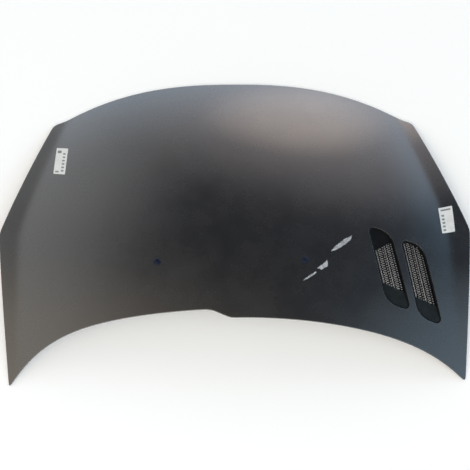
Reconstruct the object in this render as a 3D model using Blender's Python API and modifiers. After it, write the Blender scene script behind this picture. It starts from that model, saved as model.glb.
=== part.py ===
"""Car bonnet: a pressed outer skin hemmed round a pressed inner frame, with two air vents.

Units are metres, +Z is up. The nose is towards +Y, and +X is the car's right-hand side.
The panel lies on its hemmed nose edge and its two rear tips, as it would on a floor.
"""

import math

import bmesh
import bpy
import numpy as np
from mathutils import Matrix, Vector
from mathutils.bvhtree import BVHTree

# Outline seen from above
NOSE_Y = 0.492
TIP_Y = -0.492
NOSE_HALF = 0.575
KINK_HALF = 0.709
TIP_HALF = 0.650
KINK_Y = -0.038
KINK_ROUND = 0.0025
NOSE_SWEEP = 0.158
NOSE_POWER = 2.6
CORNER_KICK = 0.25
CORNER_KICK_WIDTH = 0.035
REAR_BOW_RIGHT = 0.166
REAR_BOW_LEFT = 0.192
REAR_SHARE_RIGHT = 0.67
REAR_SHARE_LEFT = 0.40
REAR_TIP_POWER = 7.0
STEP_X = -0.091
STEP_WIDTH = 0.08
CORNER_PULL = 0.30

# Crown of the outer surface
NOSE_DROP = 0.142
NOSE_DROP_POWER = 2.6
REAR_DROP = 0.030
SIDE_DROP = 0.092
SIDE_DROP_POWER = 2.2
TIP_EXTRA_DROP = 0.046
TIP_EXTRA_START_Y = 0.10
FLANK_FLARE = 0.18
CREASE_ROUND = 0.012
BAND_NOSE = 0.035
BAND_KINK = 0.061
BAND_TIP = 0.022

# Sheet metal and fits
SKIN_WALL = 0.0008
FRAME_WALL = 0.0008
GAP = 0.0003
HEM_WIDTH = 0.011
FRAME_EDGE_INSET = 0.0025
FLOOR_CLEARANCE = 0.006

# Inner frame: hat-section beams
FLANGE_DEPTH = 0.007
CHANNEL_DEPTH = 0.024
HEM_SEAT = 0.015
WALL_RUN = 0.010
SIDE_FLOOR = 0.027
REAR_FLOOR = 0.036
NOSE_FLOOR = 0.050
RIB_FLOOR = 0.036
RIB_WALL = 0.008
BEAM_FLANGE = 0.016
LATCH_PLATFORM = 0.050
RIB_SHARE_REAR = 0.475
RIB_SHARE_NOSE = 0.20
CENTRE_LINES = (0.08, 0.24, 0.40, 0.70)
BAY_LINES = (0.26, 0.52, 0.77)
REAR_ROWS = (0.25, 0.5, 0.75)
NOSE_ROWS = (1 / 3, 2 / 3)

# Air vents: corner points and radii of the aperture, in the plane of the skin there
VENT_INNER = (0.4425, -0.174)
VENT_SHIFT = (0.096, -0.037)
VENT_CORNERS = (
    (0.0572, -0.1252, 0.015),
    (0.0128, 0.1117, 0.058),
    (-0.0585, 0.1316, 0.015),
    (-0.0185, -0.1041, 0.058),
)
ARC_STEPS = 4
COLLAR_WALL = 0.0038
COLLAR_DEPTH = 0.011
COLLAR_PLAY = 0.0005
GRILLE_FLANGE = 0.009
GRILLE_FLANGE_WALL = 0.002
SEAL_WALL = 0.0015
SEAL_INSET = 0.0015
MESH_DEPTH = 0.007
MESH_WALL = 0.0025
MESH_PITCH_ACROSS = 0.008
MESH_PITCH_ALONG = 0.0144
MESH_HALF_WIDTH = 0.0037
MESH_HALF_LENGTH = 0.0054
MESH_MARGIN = 0.0058
MESH_LEAN = math.radians(10)
RAMP_START = -0.052
RAMP_SLANT = -0.43
RAMP_TOP_DROP = 0.0012
RAMP_LAP = 0.65
BLANK_START = 0.0758
BLANK_SLANT = 0.58

# Washer jets
JET_SPACING = 0.424
JET_SHIFT = -0.018
JET_Y = -0.157
JET_HEAD_RADIUS = 0.0105
JET_HEAD_HEIGHT = 0.0046
JET_STEM_RADIUS = 0.0046
JET_STEM_LENGTH = 0.017
JET_HOLE_PLAY = 0.0006
JET_HEAD_PROFILE = ((0.45, 0.95), (0.78, 0.72), (0.96, 0.34))
JET_CLIP = 1.35
JET_NECK = 0.65
JET_END = 0.48
JET_CHAMFER = 0.06

# Latch striker
STRIKER_WIDTH = 0.070
STRIKER_LENGTH = 0.034
STRIKER_WALL = 0.0025
STRIKER_HALF_SPAN = 0.013
STRIKER_DROP = 0.024
STRIKER_ROD_RADIUS = 0.004
STRIKER_BOLT_X = 0.026
STRIKER_BEND = 1.6
BEND_STEPS = 3
BACKING_WIDTH = 0.084
BACKING_WALL = 0.0015
BOLT_RADIUS = 0.003
BOLT_HEAD_RADIUS = 0.006
BOLT_HEAD_HEIGHT = 0.0045
BOLT_TIP = 0.0012
BOLT_PLAY = 0.0004
BOLT_STEPS = 10
HEXAGON = 6

# Hinge pads
HINGE_SHARE = 0.80
HINGE_LENGTH = 0.060
HINGE_WIDTH = 0.026
HINGE_WALL = 0.003
HINGE_HOLE_RADIUS = 0.0042
HINGE_HOLE_SPACING = 0.036
NUT_RADIUS = 0.0072
NUT_HEIGHT = 0.0065
PLATE_CORNER = 0.005

# Rubber bump stops
STOP_SHARE = 0.62
STOP_RADIUS = 0.010
STOP_HEIGHT = 0.0105
STOP_STEM_RADIUS = 0.0034
STOP_STEM_LENGTH = 0.007
STOP_BARB_RADIUS = 0.0052
STOP_BARB_END = 0.45
STOP_CHAMFER_START = 0.75
STOP_CHAMFER_END = 0.8

# Mastic dabs that bond the skin to the ribs
DAB_RADIUS = 0.006
DAB_SHARES = (0.24, 0.80)
DAB_SIDES = 10

ROUND_STEPS = 12
ROUND_REACH = 1.6
PLATE_CORNER_STEPS = 3
SEAT_SAMPLES = 8
APERTURE_REACH = 0.025
DRILL_REACH = 0.010
PROBE = 0.15
PROBE_SHORT = 0.05


def clear_scene():
    for old in list(bpy.data.objects):
        bpy.data.objects.remove(old, do_unlink=True)


def new_collection(name, hidden=False):
    collection = bpy.data.collections.new(name)
    collection.hide_render = hidden
    bpy.context.scene.collection.children.link(collection)
    return collection


def material(name, colour, roughness, metallic):
    made = bpy.data.materials.new(name)
    made.use_nodes = True
    shader = made.node_tree.nodes["Principled BSDF"]
    shader.inputs["Base Color"].default_value = (*colour, 1.0)
    shader.inputs["Roughness"].default_value = roughness
    shader.inputs["Metallic"].default_value = metallic
    made.diffuse_color = (*colour, 1.0)
    return made


def finishes():
    return {
        "paint": material("paint", (0.085, 0.088, 0.098), 0.22, 0.6),
        "primer": material("primer", (0.070, 0.072, 0.078), 0.45, 0.3),
        "plastic": material("plastic", (0.012, 0.013, 0.014), 0.42, 0.0),
        "foam": material("foam", (0.020, 0.020, 0.021), 0.90, 0.0),
        "rubber": material("rubber", (0.016, 0.016, 0.016), 0.75, 0.0),
        "zinc": material("zinc", (0.550, 0.560, 0.570), 0.35, 0.9),
        "steel": material("steel", (0.120, 0.122, 0.128), 0.40, 0.8),
        "mastic": material("mastic", (0.240, 0.235, 0.220), 0.80, 0.0),
        "jet": material("jet", (0.012, 0.016, 0.030), 0.35, 0.0),
    }


# Outline and surface formulas


def soft_positive(value, width):
    """value where it is positive and 0 where it is negative, with a round of this width between."""
    return 0.5 * (value + np.sqrt(value * value + width * width))


def soft_lower(a, b, width):
    """The lower of a and b, with a round of this width where they cross."""
    return 0.5 * (a + b) - np.sqrt((0.5 * (a - b)) ** 2 + width * width)


def smooth_step(t):
    t = np.clip(t, 0.0, 1.0)
    return t * t * (3.0 - 2.0 * t)


def nose_line(u):
    """Y of the nose edge at a share u of the half width."""
    bow = NOSE_SWEEP * np.abs(u) ** NOSE_POWER
    beyond = NOSE_HALF * np.abs(u) - (NOSE_HALF - CORNER_KICK_WIDTH)
    return NOSE_Y - bow + CORNER_KICK * soft_positive(beyond, CORNER_KICK_WIDTH / 6)


def rear_curve(u, bow, share):
    u = np.abs(u)
    return TIP_Y + bow * (1 - share * u**2 - (1 - share) * u**REAR_TIP_POWER)


def rear_line(u):
    """Y of the windscreen edge: the left half lies further forward, with a short S between."""
    right = rear_curve(u, REAR_BOW_RIGHT, REAR_SHARE_RIGHT)
    left = rear_curve(u, REAR_BOW_LEFT, REAR_SHARE_LEFT)
    blend = smooth_step((u * TIP_HALF - STEP_X) / STEP_WIDTH)
    return np.where(u < 0, left + (right - left) * blend, right)


SIDE_FRONT_Y = float(nose_line(1.0))
KINK_SHARE = (KINK_Y - TIP_Y) / (SIDE_FRONT_Y - TIP_Y)


def half_width(v):
    """Half width at a share v of the way from the windscreen edge to the nose."""
    wing = TIP_HALF + (KINK_HALF - TIP_HALF) * v / KINK_SHARE
    lamp = NOSE_HALF + (KINK_HALF - NOSE_HALF) * (1 - v) / (1 - KINK_SHARE)
    return soft_lower(wing, lamp, KINK_ROUND)


def plan(u, v):
    """Plan position of the point at shares u across and v along."""
    return u * half_width(v), (1 - v) * rear_line(u) + v * nose_line(u)


def crease_half_width(y):
    """Half width of the soft valley line that runs inside each side edge."""
    tip = TIP_HALF - BAND_TIP
    kink = KINK_HALF - BAND_KINK
    nose = NOSE_HALF - BAND_NOSE
    wing = tip + (kink - tip) * (y - TIP_Y) / (KINK_Y - TIP_Y)
    lamp = nose + (kink - nose) * (SIDE_FRONT_Y - y) / (SIDE_FRONT_Y - KINK_Y)
    return soft_lower(wing, lamp, CREASE_ROUND / 2)


def skin_height(x, y):
    """Height of the outer surface, with 0 above its crown."""
    rear = TIP_Y + REAR_BOW_RIGHT
    t = (y - rear) / (NOSE_Y - rear)
    middle = -NOSE_DROP * np.clip(t, 0, None) ** NOSE_DROP_POWER - REAR_DROP * (1 - t)
    rearward = np.clip((TIP_EXTRA_START_Y - y) / (TIP_EXTRA_START_Y - TIP_Y), 0, 1)
    side = SIDE_DROP + TIP_EXTRA_DROP * rearward**2
    flare = FLANK_FLARE * soft_positive(np.abs(x) - crease_half_width(y), CREASE_ROUND)
    return middle - side * (np.abs(x) / KINK_HALF) ** SIDE_DROP_POWER + flare


def below_skin(x, y, depth):
    """Height of the surface that lies a depth below the outer one, measured square to it."""
    step = 0.001
    slope_x = (skin_height(x + step, y) - skin_height(x - step, y)) / (2 * step)
    slope_y = (skin_height(x, y + step) - skin_height(x, y - step)) / (2 * step)
    return skin_height(x, y) - depth * np.sqrt(1 + slope_x**2 + slope_y**2)


# The grid that the skin and the inner frame share, so that they nest

RIB_HALF = RIB_FLOOR / 2 + RIB_WALL + BEAM_FLANGE
RIB_OFFSETS = (-RIB_HALF, -RIB_FLOOR / 2 - RIB_WALL, -RIB_FLOOR / 2)
RIB_OFFSETS = RIB_OFFSETS + tuple(-offset for offset in reversed(RIB_OFFSETS))


def edge_stations(floor, flange):
    """Distances from the outline of a border beam's fold lines, without the outline itself."""
    stations = [HEM_SEAT]
    for run in (WALL_RUN, floor, WALL_RUN, flange):
        stations.append(stations[-1] + run)
    return stations


SIDE_STATIONS = edge_stations(SIDE_FLOOR, BEAM_FLANGE)
REAR_STATIONS = edge_stations(REAR_FLOOR, BEAM_FLANGE)
NOSE_STATIONS = edge_stations(NOSE_FLOOR, LATCH_PLATFORM)


def rib_share(v):
    return RIB_SHARE_REAR + (RIB_SHARE_NOSE - RIB_SHARE_REAR) * v


def column_shares(v, inset):
    """Shares u of the grid's columns at v: side beam, bay, rib, middle bay and their mirror."""
    half = float(half_width(v))
    rib = rib_share(v) * half
    bay_start = rib + RIB_HALF
    bay = half - SIDE_STATIONS[-1] - bay_start
    right = [share * (rib - RIB_HALF) for share in CENTRE_LINES]
    right += [rib + offset for offset in RIB_OFFSETS]
    right += [bay_start + share * bay for share in BAY_LINES]
    right += [half - station for station in reversed(SIDE_STATIONS)]
    right += [half - inset]
    return np.array([-x for x in reversed(right)] + [0.0] + right) / half


def row_shares(u, inset):
    """Shares v of the grid's rows at u: rear beam, bay, cross rib, bay and nose beam."""
    length = float(nose_line(u) - rear_line(u))
    cross = KINK_SHARE * length + RIB_HALF
    rows = [inset] + REAR_STATIONS
    rear_bay = cross - RIB_HALF - REAR_STATIONS[-1]
    rows += [REAR_STATIONS[-1] + share * rear_bay for share in REAR_ROWS]
    rows += [cross + offset for offset in RIB_OFFSETS]
    nose_bay = length - NOSE_STATIONS[-1] - cross - RIB_HALF
    rows += [cross + RIB_HALF + share * nose_bay for share in NOSE_ROWS]
    rows += [length - station for station in reversed(NOSE_STATIONS)]
    rows += [length - inset]
    return np.array(rows) / length


def grid_plan(inset, pull=CORNER_PULL):
    """Plan positions of the grid, whose border lies this far inside the outline."""
    nominal = row_shares(0.5, inset)
    u = np.array([column_shares(v, inset) for v in nominal])
    v = np.array([[row_shares(s, inset)[j] for s in row] for j, row in enumerate(u)])
    u = np.array([[column_shares(s, inset)[i] for i, s in enumerate(row)] for row in v])
    x, y = plan(u, v)
    for j, i, dj, di in ((0, 0, 1, 1), (0, -1, 1, -1), (-1, 0, -1, 1), (-1, -1, -1, -1)):
        x[j, i] += pull * (x[j + dj, i + di] - x[j, i])
        y[j, i] += pull * (y[j + dj, i + di] - y[j, i])
    return x, y


def border_cells(rows, columns):
    """Row and column numbers round the grid's border, anticlockwise seen from above."""
    bottom = [(0, i) for i in range(columns)]
    right = [(j, columns - 1) for j in range(1, rows)]
    top = [(rows - 1, i) for i in range(columns - 2, -1, -1)]
    left = [(j, 0) for j in range(rows - 2, 0, -1)]
    return bottom + right + top + left


# A beam's six fold lines: which are the bottom of its channel, and the closed gaps between them.
BEAM_DEEP = [False, False, True, True, False, False]
BEAM_CLOSED = [False] * (len(BEAM_DEEP) - 1)
HEM_LINES = [True, True]


def column_kinds():
    """For each column: is it a hem line, is it a channel line, and is the gap after it open."""
    inside = len(CENTRE_LINES) + len(BEAM_DEEP) + len(BAY_LINES) + len(BEAM_DEEP) - len(HEM_LINES)
    half_hem = [False] * inside + HEM_LINES
    half_deep = [False] * len(CENTRE_LINES) + BEAM_DEEP + [False] * len(BAY_LINES) + BEAM_DEEP
    half_open = [True] * len(CENTRE_LINES) + BEAM_CLOSED + [True] * (len(BAY_LINES) + 1)
    half_open += BEAM_CLOSED
    hem = half_hem[::-1] + [False] + half_hem
    deep = half_deep[::-1] + [False] + half_deep
    opened = half_open[::-1] + [True, True] + half_open
    return np.array(hem), np.array(deep), np.array(opened)


def row_kinds():
    deep = BEAM_DEEP + [False] * len(REAR_ROWS) + BEAM_DEEP + [False] * len(NOSE_ROWS) + BEAM_DEEP
    hem = HEM_LINES + [False] * (len(deep) - 2 * len(HEM_LINES)) + HEM_LINES
    opened = BEAM_CLOSED + [True] * (len(REAR_ROWS) + 1) + BEAM_CLOSED
    opened += [True] * (len(NOSE_ROWS) + 1) + BEAM_CLOSED
    return np.array(hem), np.array(deep), np.array(opened)


# Building blocks


def add_object(name, mesh, collection, finish=None):
    made = bpy.data.objects.new(name, mesh)
    collection.objects.link(made)
    if finish is not None:
        mesh.materials.append(finish)
    return made


def mesh_from(name, build):
    """A mesh filled by build(bm)."""
    bm = bmesh.new()
    build(bm)
    mesh = bpy.data.meshes.new(name)
    bm.to_mesh(mesh)
    bm.free()
    return mesh


def grid_faces(bm, verts, keep):
    rows, columns = len(verts), len(verts[0])
    for j in range(rows - 1):
        for i in range(columns - 1):
            if keep[j][i]:
                bm.faces.new((verts[j][i], verts[j][i + 1], verts[j + 1][i + 1], verts[j + 1][i]))


def solidify(obj, wall):
    modifier = obj.modifiers.new("wall", "SOLIDIFY")
    modifier.thickness = wall
    modifier.offset = -1
    modifier.use_even_offset = True
    modifier.use_quality_normals = True


def boolean(obj, other, operation):
    modifier = obj.modifiers.new(other.name, "BOOLEAN")
    modifier.operation = operation
    modifier.solver = "EXACT"
    modifier.object = other


def prism_mesh(name, outline, low, high):
    """A prism over an outline of (x, y) points; low and high are heights or functions of a point."""

    def build(bm):
        bottom = [bm.verts.new((x, y, low(x, y) if callable(low) else low)) for x, y in outline]
        top = [bm.verts.new((x, y, high(x, y) if callable(high) else high)) for x, y in outline]
        bm.faces.new(bottom[::-1])
        bm.faces.new(top)
        for k in range(len(outline)):
            n = (k + 1) % len(outline)
            bm.faces.new((bottom[k], bottom[n], top[n], top[k]))

    return mesh_from(name, build)


def cylinder_mesh(name, radius, low, high, steps):
    def build(bm):
        bmesh.ops.create_cone(
            bm, cap_ends=True, segments=steps, radius1=radius, radius2=radius, depth=high - low
        )
        bmesh.ops.translate(bm, verts=bm.verts, vec=(0, 0, (low + high) / 2))

    return mesh_from(name, build)


def rounded_outline(corners, steps):
    """Points and outward normals of a convex outline with (x, y, radius) corners, anticlockwise."""
    points = []
    normals = []
    count = len(corners)
    for k, (x, y, radius) in enumerate(corners):
        here = Vector((x, y))
        before = (Vector(corners[k - 1][:2]) - here).normalized()
        after = (Vector(corners[(k + 1) % count][:2]) - here).normalized()
        centre = here + (before + after).normalized() * radius / math.sin(before.angle(after) / 2)
        start = Vector((-before.y, before.x))
        start = start if start.dot(here - centre) > 0 else -start
        turn = math.pi - before.angle(after)
        first = math.atan2(start.y, start.x)
        for step in range(steps + 1):
            angle = first + turn * step / steps
            normal = Vector((math.cos(angle), math.sin(angle)))
            points.append(centre + normal * radius)
            normals.append(normal)
    return points, normals


def offset_outline(points, normals, distance):
    return [(p.x + n.x * distance, p.y + n.y * distance) for p, n in zip(points, normals)]


def turned(name, profile, steps, collection, finish):
    """A turned solid: a profile of (radius, height) points, top to bottom, on a Screw modifier."""

    def build(bm):
        verts = [bm.verts.new((radius, 0, height)) for radius, height in profile]
        for first, second in zip(verts, verts[1:]):
            bm.edges.new((first, second))

    made = add_object(name, mesh_from(name, build), collection, finish)
    screw = made.modifiers.new("turn", "SCREW")
    screw.angle = 2 * math.pi
    screw.steps = steps
    screw.render_steps = steps
    screw.use_merge_vertices = True
    screw.merge_threshold = 0.00001
    return made


def tree_of(obj):
    """A search tree of the object's evaluated mesh, for seating pieces on it."""
    bpy.context.view_layer.update()
    return BVHTree.FromObject(obj, bpy.context.evaluated_depsgraph_get())


def probe_height(tree, x, y, from_above):
    start = Vector((x, y, PROBE if from_above else -2 * PROBE))
    hit = tree.ray_cast(start, Vector((0, 0, -1 if from_above else 1)))[0]
    return hit.z


def seat(tree, centre, size, turn, above):
    """A frame whose XY plane lies GAP off a sheet, on a footprint of this size turned about Z."""
    spin = Matrix.Rotation(turn, 2)
    shares = [k / SEAT_SAMPLES - 0.5 for k in range(SEAT_SAMPLES + 1)]
    offsets = [spin @ Vector((size[0] * a, size[1] * b)) for a in shares for b in shares]
    x = np.array([centre[0] + offset.x for offset in offsets])
    y = np.array([centre[1] + offset.y for offset in offsets])
    z = np.array([probe_height(tree, *point, above) for point in zip(x, y)])
    design = np.column_stack([np.ones_like(x), x - centre[0], y - centre[1]])
    level, slope_x, slope_y = np.linalg.lstsq(design, z, rcond=None)[0]
    normal = Vector((-slope_x, -slope_y, 1)).normalized()
    residual = z - design @ np.array([level, slope_x, slope_y])
    level += residual.max() + GAP / normal.z if above else residual.min() - GAP / normal.z
    across = spin @ Vector((1, 0))
    axis_x = Vector((across.x, across.y, slope_x * across.x + slope_y * across.y)).normalized()
    axis_y = normal.cross(axis_x)
    placed = Matrix((axis_x, axis_y, normal)).transposed().to_4x4()
    placed.translation = Vector((centre[0], centre[1], level))
    return placed


def tangent_frame(x, y):
    """A frame on the outer surface with Z square to it and X across the car."""
    step = 0.01
    across = Vector((2 * step, 0, float(skin_height(x + step, y) - skin_height(x - step, y))))
    along = Vector((0, 2 * step, float(skin_height(x, y + step) - skin_height(x, y - step))))
    normal = across.cross(along).normalized()
    axis_x = across.normalized()
    placed = Matrix((axis_x, normal.cross(axis_x), normal)).transposed().to_4x4()
    placed.translation = Vector((x, y, float(skin_height(x, y))))
    return placed


# The two pressed panels


def sheet_floor():
    """The lowest point of the hem, taken along the outline."""
    x, y = grid_plan(0.0)
    return below_skin(x, y, 2 * SKIN_WALL + FRAME_WALL + 2 * GAP).min()


LOWEST = sheet_floor()


def make_skin(parts, finish):
    """The outer skin: its surface, the fold at its edge and the hem flange, as one sheet."""
    depth = 2 * SKIN_WALL + FRAME_WALL + 2 * GAP
    x, y = grid_plan(0.0)
    z = skin_height(x, y)
    fold_z = below_skin(x, y, depth)
    hem_x, hem_y = grid_plan(HEM_WIDTH)
    hem_z = below_skin(hem_x, hem_y, depth)
    cells = border_cells(*x.shape)

    def build(bm):
        verts = [[bm.verts.new(point) for point in zip(*row)] for row in zip(x, y, z)]
        grid_faces(bm, verts, np.ones((len(x) - 1, len(x[0]) - 1), bool))
        edge = [verts[j][i] for j, i in cells]
        fold = [bm.verts.new((x[c], y[c], fold_z[c])) for c in cells]
        hem = [bm.verts.new((hem_x[c], hem_y[c], hem_z[c])) for c in cells]
        for outer, inner in ((edge, fold), (fold, hem)):
            for k in range(len(cells)):
                n = (k + 1) % len(cells)
                bm.faces.new((outer[n], outer[k], inner[k], inner[n]))
        bmesh.ops.triangulate(bm, faces=bm.faces, quad_method="FIXED")

    skin = add_object("outer_skin", mesh_from("outer_skin", build), parts, finish)
    solidify(skin, SKIN_WALL)
    return skin


def make_frame(parts, finish):
    """The inner frame: hat-section border beams, a cross rib and two raked ribs, open between."""
    x, y = grid_plan(FRAME_EDGE_INSET, pull=1.5 * CORNER_PULL)
    hem_i, deep_i, open_i = column_kinds()
    hem_j, deep_j, open_j = row_kinds()
    floor = -float(LOWEST)
    room = skin_height(x, y) + floor - FLOOR_CLEARANCE
    depth = np.where(deep_j[:, None] | deep_i[None, :], CHANNEL_DEPTH, FLANGE_DEPTH)
    depth = np.minimum(depth, np.maximum(room, FLANGE_DEPTH / 2))
    depth = np.where(hem_j[:, None] | hem_i[None, :], SKIN_WALL + GAP, depth)
    z = below_skin(x, y, depth)
    keep = ~(open_j[:, None] & open_i[None, :])

    def build(bm):
        verts = [[bm.verts.new(point) for point in zip(*row)] for row in zip(x, y, z)]
        grid_faces(bm, verts, keep)
        bmesh.ops.delete(bm, geom=[v for v in bm.verts if not v.link_faces], context="VERTS")
        bmesh.ops.triangulate(bm, faces=bm.faces, quad_method="FIXED")

    frame = add_object("inner_frame", mesh_from("inner_frame", build), parts, finish)
    solidify(frame, FRAME_WALL)
    return frame


# Air vents


def clip_convex(outline, keep_side):
    """The part of a convex outline where keep_side(x, y) is positive."""
    kept = []
    for k, here in enumerate(outline):
        before = outline[k - 1]
        a, b = keep_side(*before), keep_side(*here)
        if (a > 0) != (b > 0):
            t = a / (a - b)
            kept.append((before[0] + t * (here[0] - before[0]), before[1] + t * (here[1] - before[1])))
        if b > 0:
            kept.append(here)
    return kept


def ramp_side(x, y):
    """Positive on the closed ramp at the back of a vent."""
    return RAMP_START + RAMP_SLANT * x - y


def mesh_holes(outline, normals, blank):
    """Corner points of the diamond holes that fit inside a vent's outline."""
    lean = Matrix.Rotation(MESH_LEAN, 2)
    corners = ((MESH_HALF_WIDTH, 0), (0, MESH_HALF_LENGTH), (-MESH_HALF_WIDTH, 0), (0, -MESH_HALF_LENGTH))
    reach = max(math.hypot(*point) for point in outline)
    across = math.ceil(reach / MESH_PITCH_ACROSS)
    along = math.ceil(2 * reach / MESH_PITCH_ALONG)
    holes = []
    for i in range(-across, across + 1):
        for j in range(-along, along + 1):
            centre = lean @ Vector((i * MESH_PITCH_ACROSS, (j + i % 2 / 2) * MESH_PITCH_ALONG))
            hole = [centre + lean @ Vector(corner) for corner in corners]
            inside = all(
                (point - Vector(edge)).dot(normal) < -MESH_MARGIN
                for point in hole
                for edge, normal in zip(outline, normals)
            )
            on_ramp = any(ramp_side(point.x, point.y) > -MESH_MARGIN / 2 for point in hole)
            on_blank = blank and any(point.y > BLANK_START + BLANK_SLANT * point.x for point in hole)
            if inside and not on_ramp and not on_blank:
                holes.append([(point.x, point.y) for point in hole])
    return holes


def ring_mesh(name, outline, normals, section, rim_height):
    """A closed section of (offset, depth) points carried round an outline, following the skin."""

    def build(bm):
        rings = []
        for distance, height in section:
            ring = offset_outline(outline, normals, distance)
            rings.append([bm.verts.new((x, y, rim_height(x, y) + height)) for x, y in ring])
        for first, second in zip(rings, rings[1:] + rings[:1]):
            for k in range(len(outline)):
                n = (k + 1) % len(outline)
                bm.faces.new((first[k], first[n], second[n], second[k]))
        bmesh.ops.recalc_face_normals(bm, faces=bm.faces)

    return mesh_from(name, build)


def make_vent(name, centre, blank, skin, skin_tree, parts, cutters, finish):
    """One vent: its aperture in the skin, its moulded mesh grille and the foam seal between."""
    placed = tangent_frame(*centre)
    outline, normals = rounded_outline(VENT_CORNERS, ARC_STEPS)
    normal = placed.to_3x3() @ Vector((0, 0, 1))

    def rim_height(x, y):
        start = placed @ Vector((x, y, PROBE_SHORT))
        return PROBE_SHORT - skin_tree.ray_cast(start, -normal)[3]

    def add_cutter(suffix, mesh):
        cutter = add_object(f"{name}_{suffix}", mesh, cutters)
        cutter.matrix_world = placed
        cutter.hide_render = True
        cutter.display_type = "WIRE"
        return cutter

    full = [(p.x, p.y) for p in outline]
    opening = add_cutter("aperture", prism_mesh("aperture", full, -APERTURE_REACH, APERTURE_REACH))

    seal_top = -(SKIN_WALL + GAP)
    flange_top = seal_top - SEAL_WALL - GAP
    flange_low = flange_top - GRILLE_FLANGE_WALL
    outer = -COLLAR_PLAY
    inner = outer - COLLAR_WALL
    section = (
        (outer, -GAP),
        (outer, flange_top),
        (GRILLE_FLANGE, flange_top),
        (GRILLE_FLANGE, flange_low),
        (outer, flange_low),
        (outer, -COLLAR_DEPTH),
        (inner, -COLLAR_DEPTH),
        (inner, -GAP),
    )
    grille_mesh = ring_mesh(name, outline, normals, section, rim_height)
    grille = add_object(f"vent_grille_{name}", grille_mesh, parts, finish["plastic"])
    grille.matrix_world = placed

    plate_outline = offset_outline(outline, normals, outer - COLLAR_WALL / 2)
    plate = add_cutter("plate", prism_mesh("plate", plate_outline, -MESH_DEPTH - MESH_WALL, -MESH_DEPTH))
    holes = mesh_holes(full, normals, blank)

    def build_holes(bm):
        for hole in holes:
            low = [bm.verts.new((x, y, -2 * MESH_DEPTH)) for x, y in hole]
            high = [bm.verts.new((x, y, -MESH_DEPTH / 2)) for x, y in hole]
            bm.faces.new(low[::-1])
            bm.faces.new(high)
            for k in range(len(hole)):
                n = (k + 1) % len(hole)
                bm.faces.new((low[k], low[n], high[n], high[k]))

    punch = add_cutter("holes", mesh_from("holes", build_holes))
    boolean(plate, punch, "DIFFERENCE")

    ramp_edge = offset_outline(outline, normals, outer - RAMP_LAP * COLLAR_WALL)
    ramp_outline = clip_convex(ramp_edge, ramp_side)
    furthest = max(ramp_outline, key=lambda point: ramp_side(*point))
    rise = rim_height(*furthest) - RAMP_TOP_DROP + MESH_DEPTH
    slope = rise / ramp_side(*furthest)
    ramp_mesh = prism_mesh(
        "ramp",
        ramp_outline,
        -MESH_DEPTH - MESH_WALL / 2,
        lambda x, y: -MESH_DEPTH + max(slope * ramp_side(x, y), GAP / 3),
    )
    ramp = add_cutter("ramp", ramp_mesh)
    boolean(grille, plate, "UNION")
    boolean(grille, ramp, "UNION")

    seal_section = (
        (SEAL_INSET, seal_top),
        (SEAL_INSET, seal_top - SEAL_WALL),
        (GRILLE_FLANGE - SEAL_INSET, seal_top - SEAL_WALL),
        (GRILLE_FLANGE - SEAL_INSET, seal_top),
    )
    seal_mesh = ring_mesh("seal", outline, normals, seal_section, rim_height)
    seal = add_object(f"vent_seal_{name}", seal_mesh, parts, finish["foam"])
    seal.matrix_world = placed
    boolean(skin, opening, "DIFFERENCE")


# Small fittings


def drill(sheet, placed, radius, cutters, name):
    """A round hole through a sheet along Z of a seat's frame."""
    mesh = cylinder_mesh(name, radius, -DRILL_REACH, DRILL_REACH, ROUND_STEPS)
    hole = add_object(name, mesh, cutters)
    hole.matrix_world = placed
    hole.hide_render = True
    hole.display_type = "WIRE"
    boolean(sheet, hole, "DIFFERENCE")


def make_jet(side, skin, skin_tree, parts, cutters, finish):
    sign = 1 if side == "right" else -1
    reach = ROUND_REACH * JET_HEAD_RADIUS
    centre = (JET_SHIFT + sign * JET_SPACING / 2, JET_Y)
    placed = seat(skin_tree, centre, (reach, reach), 0, above=True)
    under = -(SKIN_WALL + 3 * GAP)
    neck = JET_NECK * JET_STEM_RADIUS
    clip_low = under - neck
    profile = [(0, JET_HEAD_HEIGHT)]
    profile += [(r * JET_HEAD_RADIUS, h * JET_HEAD_HEIGHT) for r, h in JET_HEAD_PROFILE]
    profile += [
        (JET_HEAD_RADIUS, 0),
        (JET_STEM_RADIUS, 0),
        (JET_STEM_RADIUS, under),
        (JET_CLIP * JET_STEM_RADIUS, under),
        (JET_STEM_RADIUS, clip_low),
        (neck, clip_low - (JET_STEM_RADIUS - neck)),
        (neck, (JET_CHAMFER - 1) * JET_STEM_LENGTH),
        (JET_END * JET_STEM_RADIUS, -JET_STEM_LENGTH),
        (0, -JET_STEM_LENGTH),
    ]
    jet = turned(f"washer_jet_{side}", profile, ROUND_STEPS, parts, finish["jet"])
    jet.matrix_world = placed
    drill(skin, placed, JET_STEM_RADIUS + JET_HOLE_PLAY, cutters, f"jet_hole_{side}")


def level_above(tree, centre, size, turn, under):
    """Height above the seat `under` of the level that clears the sheet's upper side."""
    over = seat(tree, centre, size, turn, above=True)
    return (over.translation - under.translation).dot(under.to_3x3() @ Vector((0, 0, 1)))


def plate_with_holes(name, size, wall, holes, radius, parts, cutters, finish, placed, low):
    """A flat plate with round corners and bolt holes, from low to low + wall in its seat's frame."""
    half_x, half_y = size[0] / 2, size[1] / 2
    corners = [(half_x, -half_y), (half_x, half_y), (-half_x, half_y), (-half_x, -half_y)]
    rounded = [(x, y, PLATE_CORNER) for x, y in corners]
    outline, _ = rounded_outline(rounded, PLATE_CORNER_STEPS)
    mesh = prism_mesh(name, [(p.x, p.y) for p in outline], low, low + wall)
    plate = add_object(name, mesh, parts, finish)
    plate.matrix_world = placed
    for k, x in enumerate(holes):
        drill(plate, placed @ Matrix.Translation((x, 0, 0)), radius, cutters, f"{name}_hole_{k}")
    return plate


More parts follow.
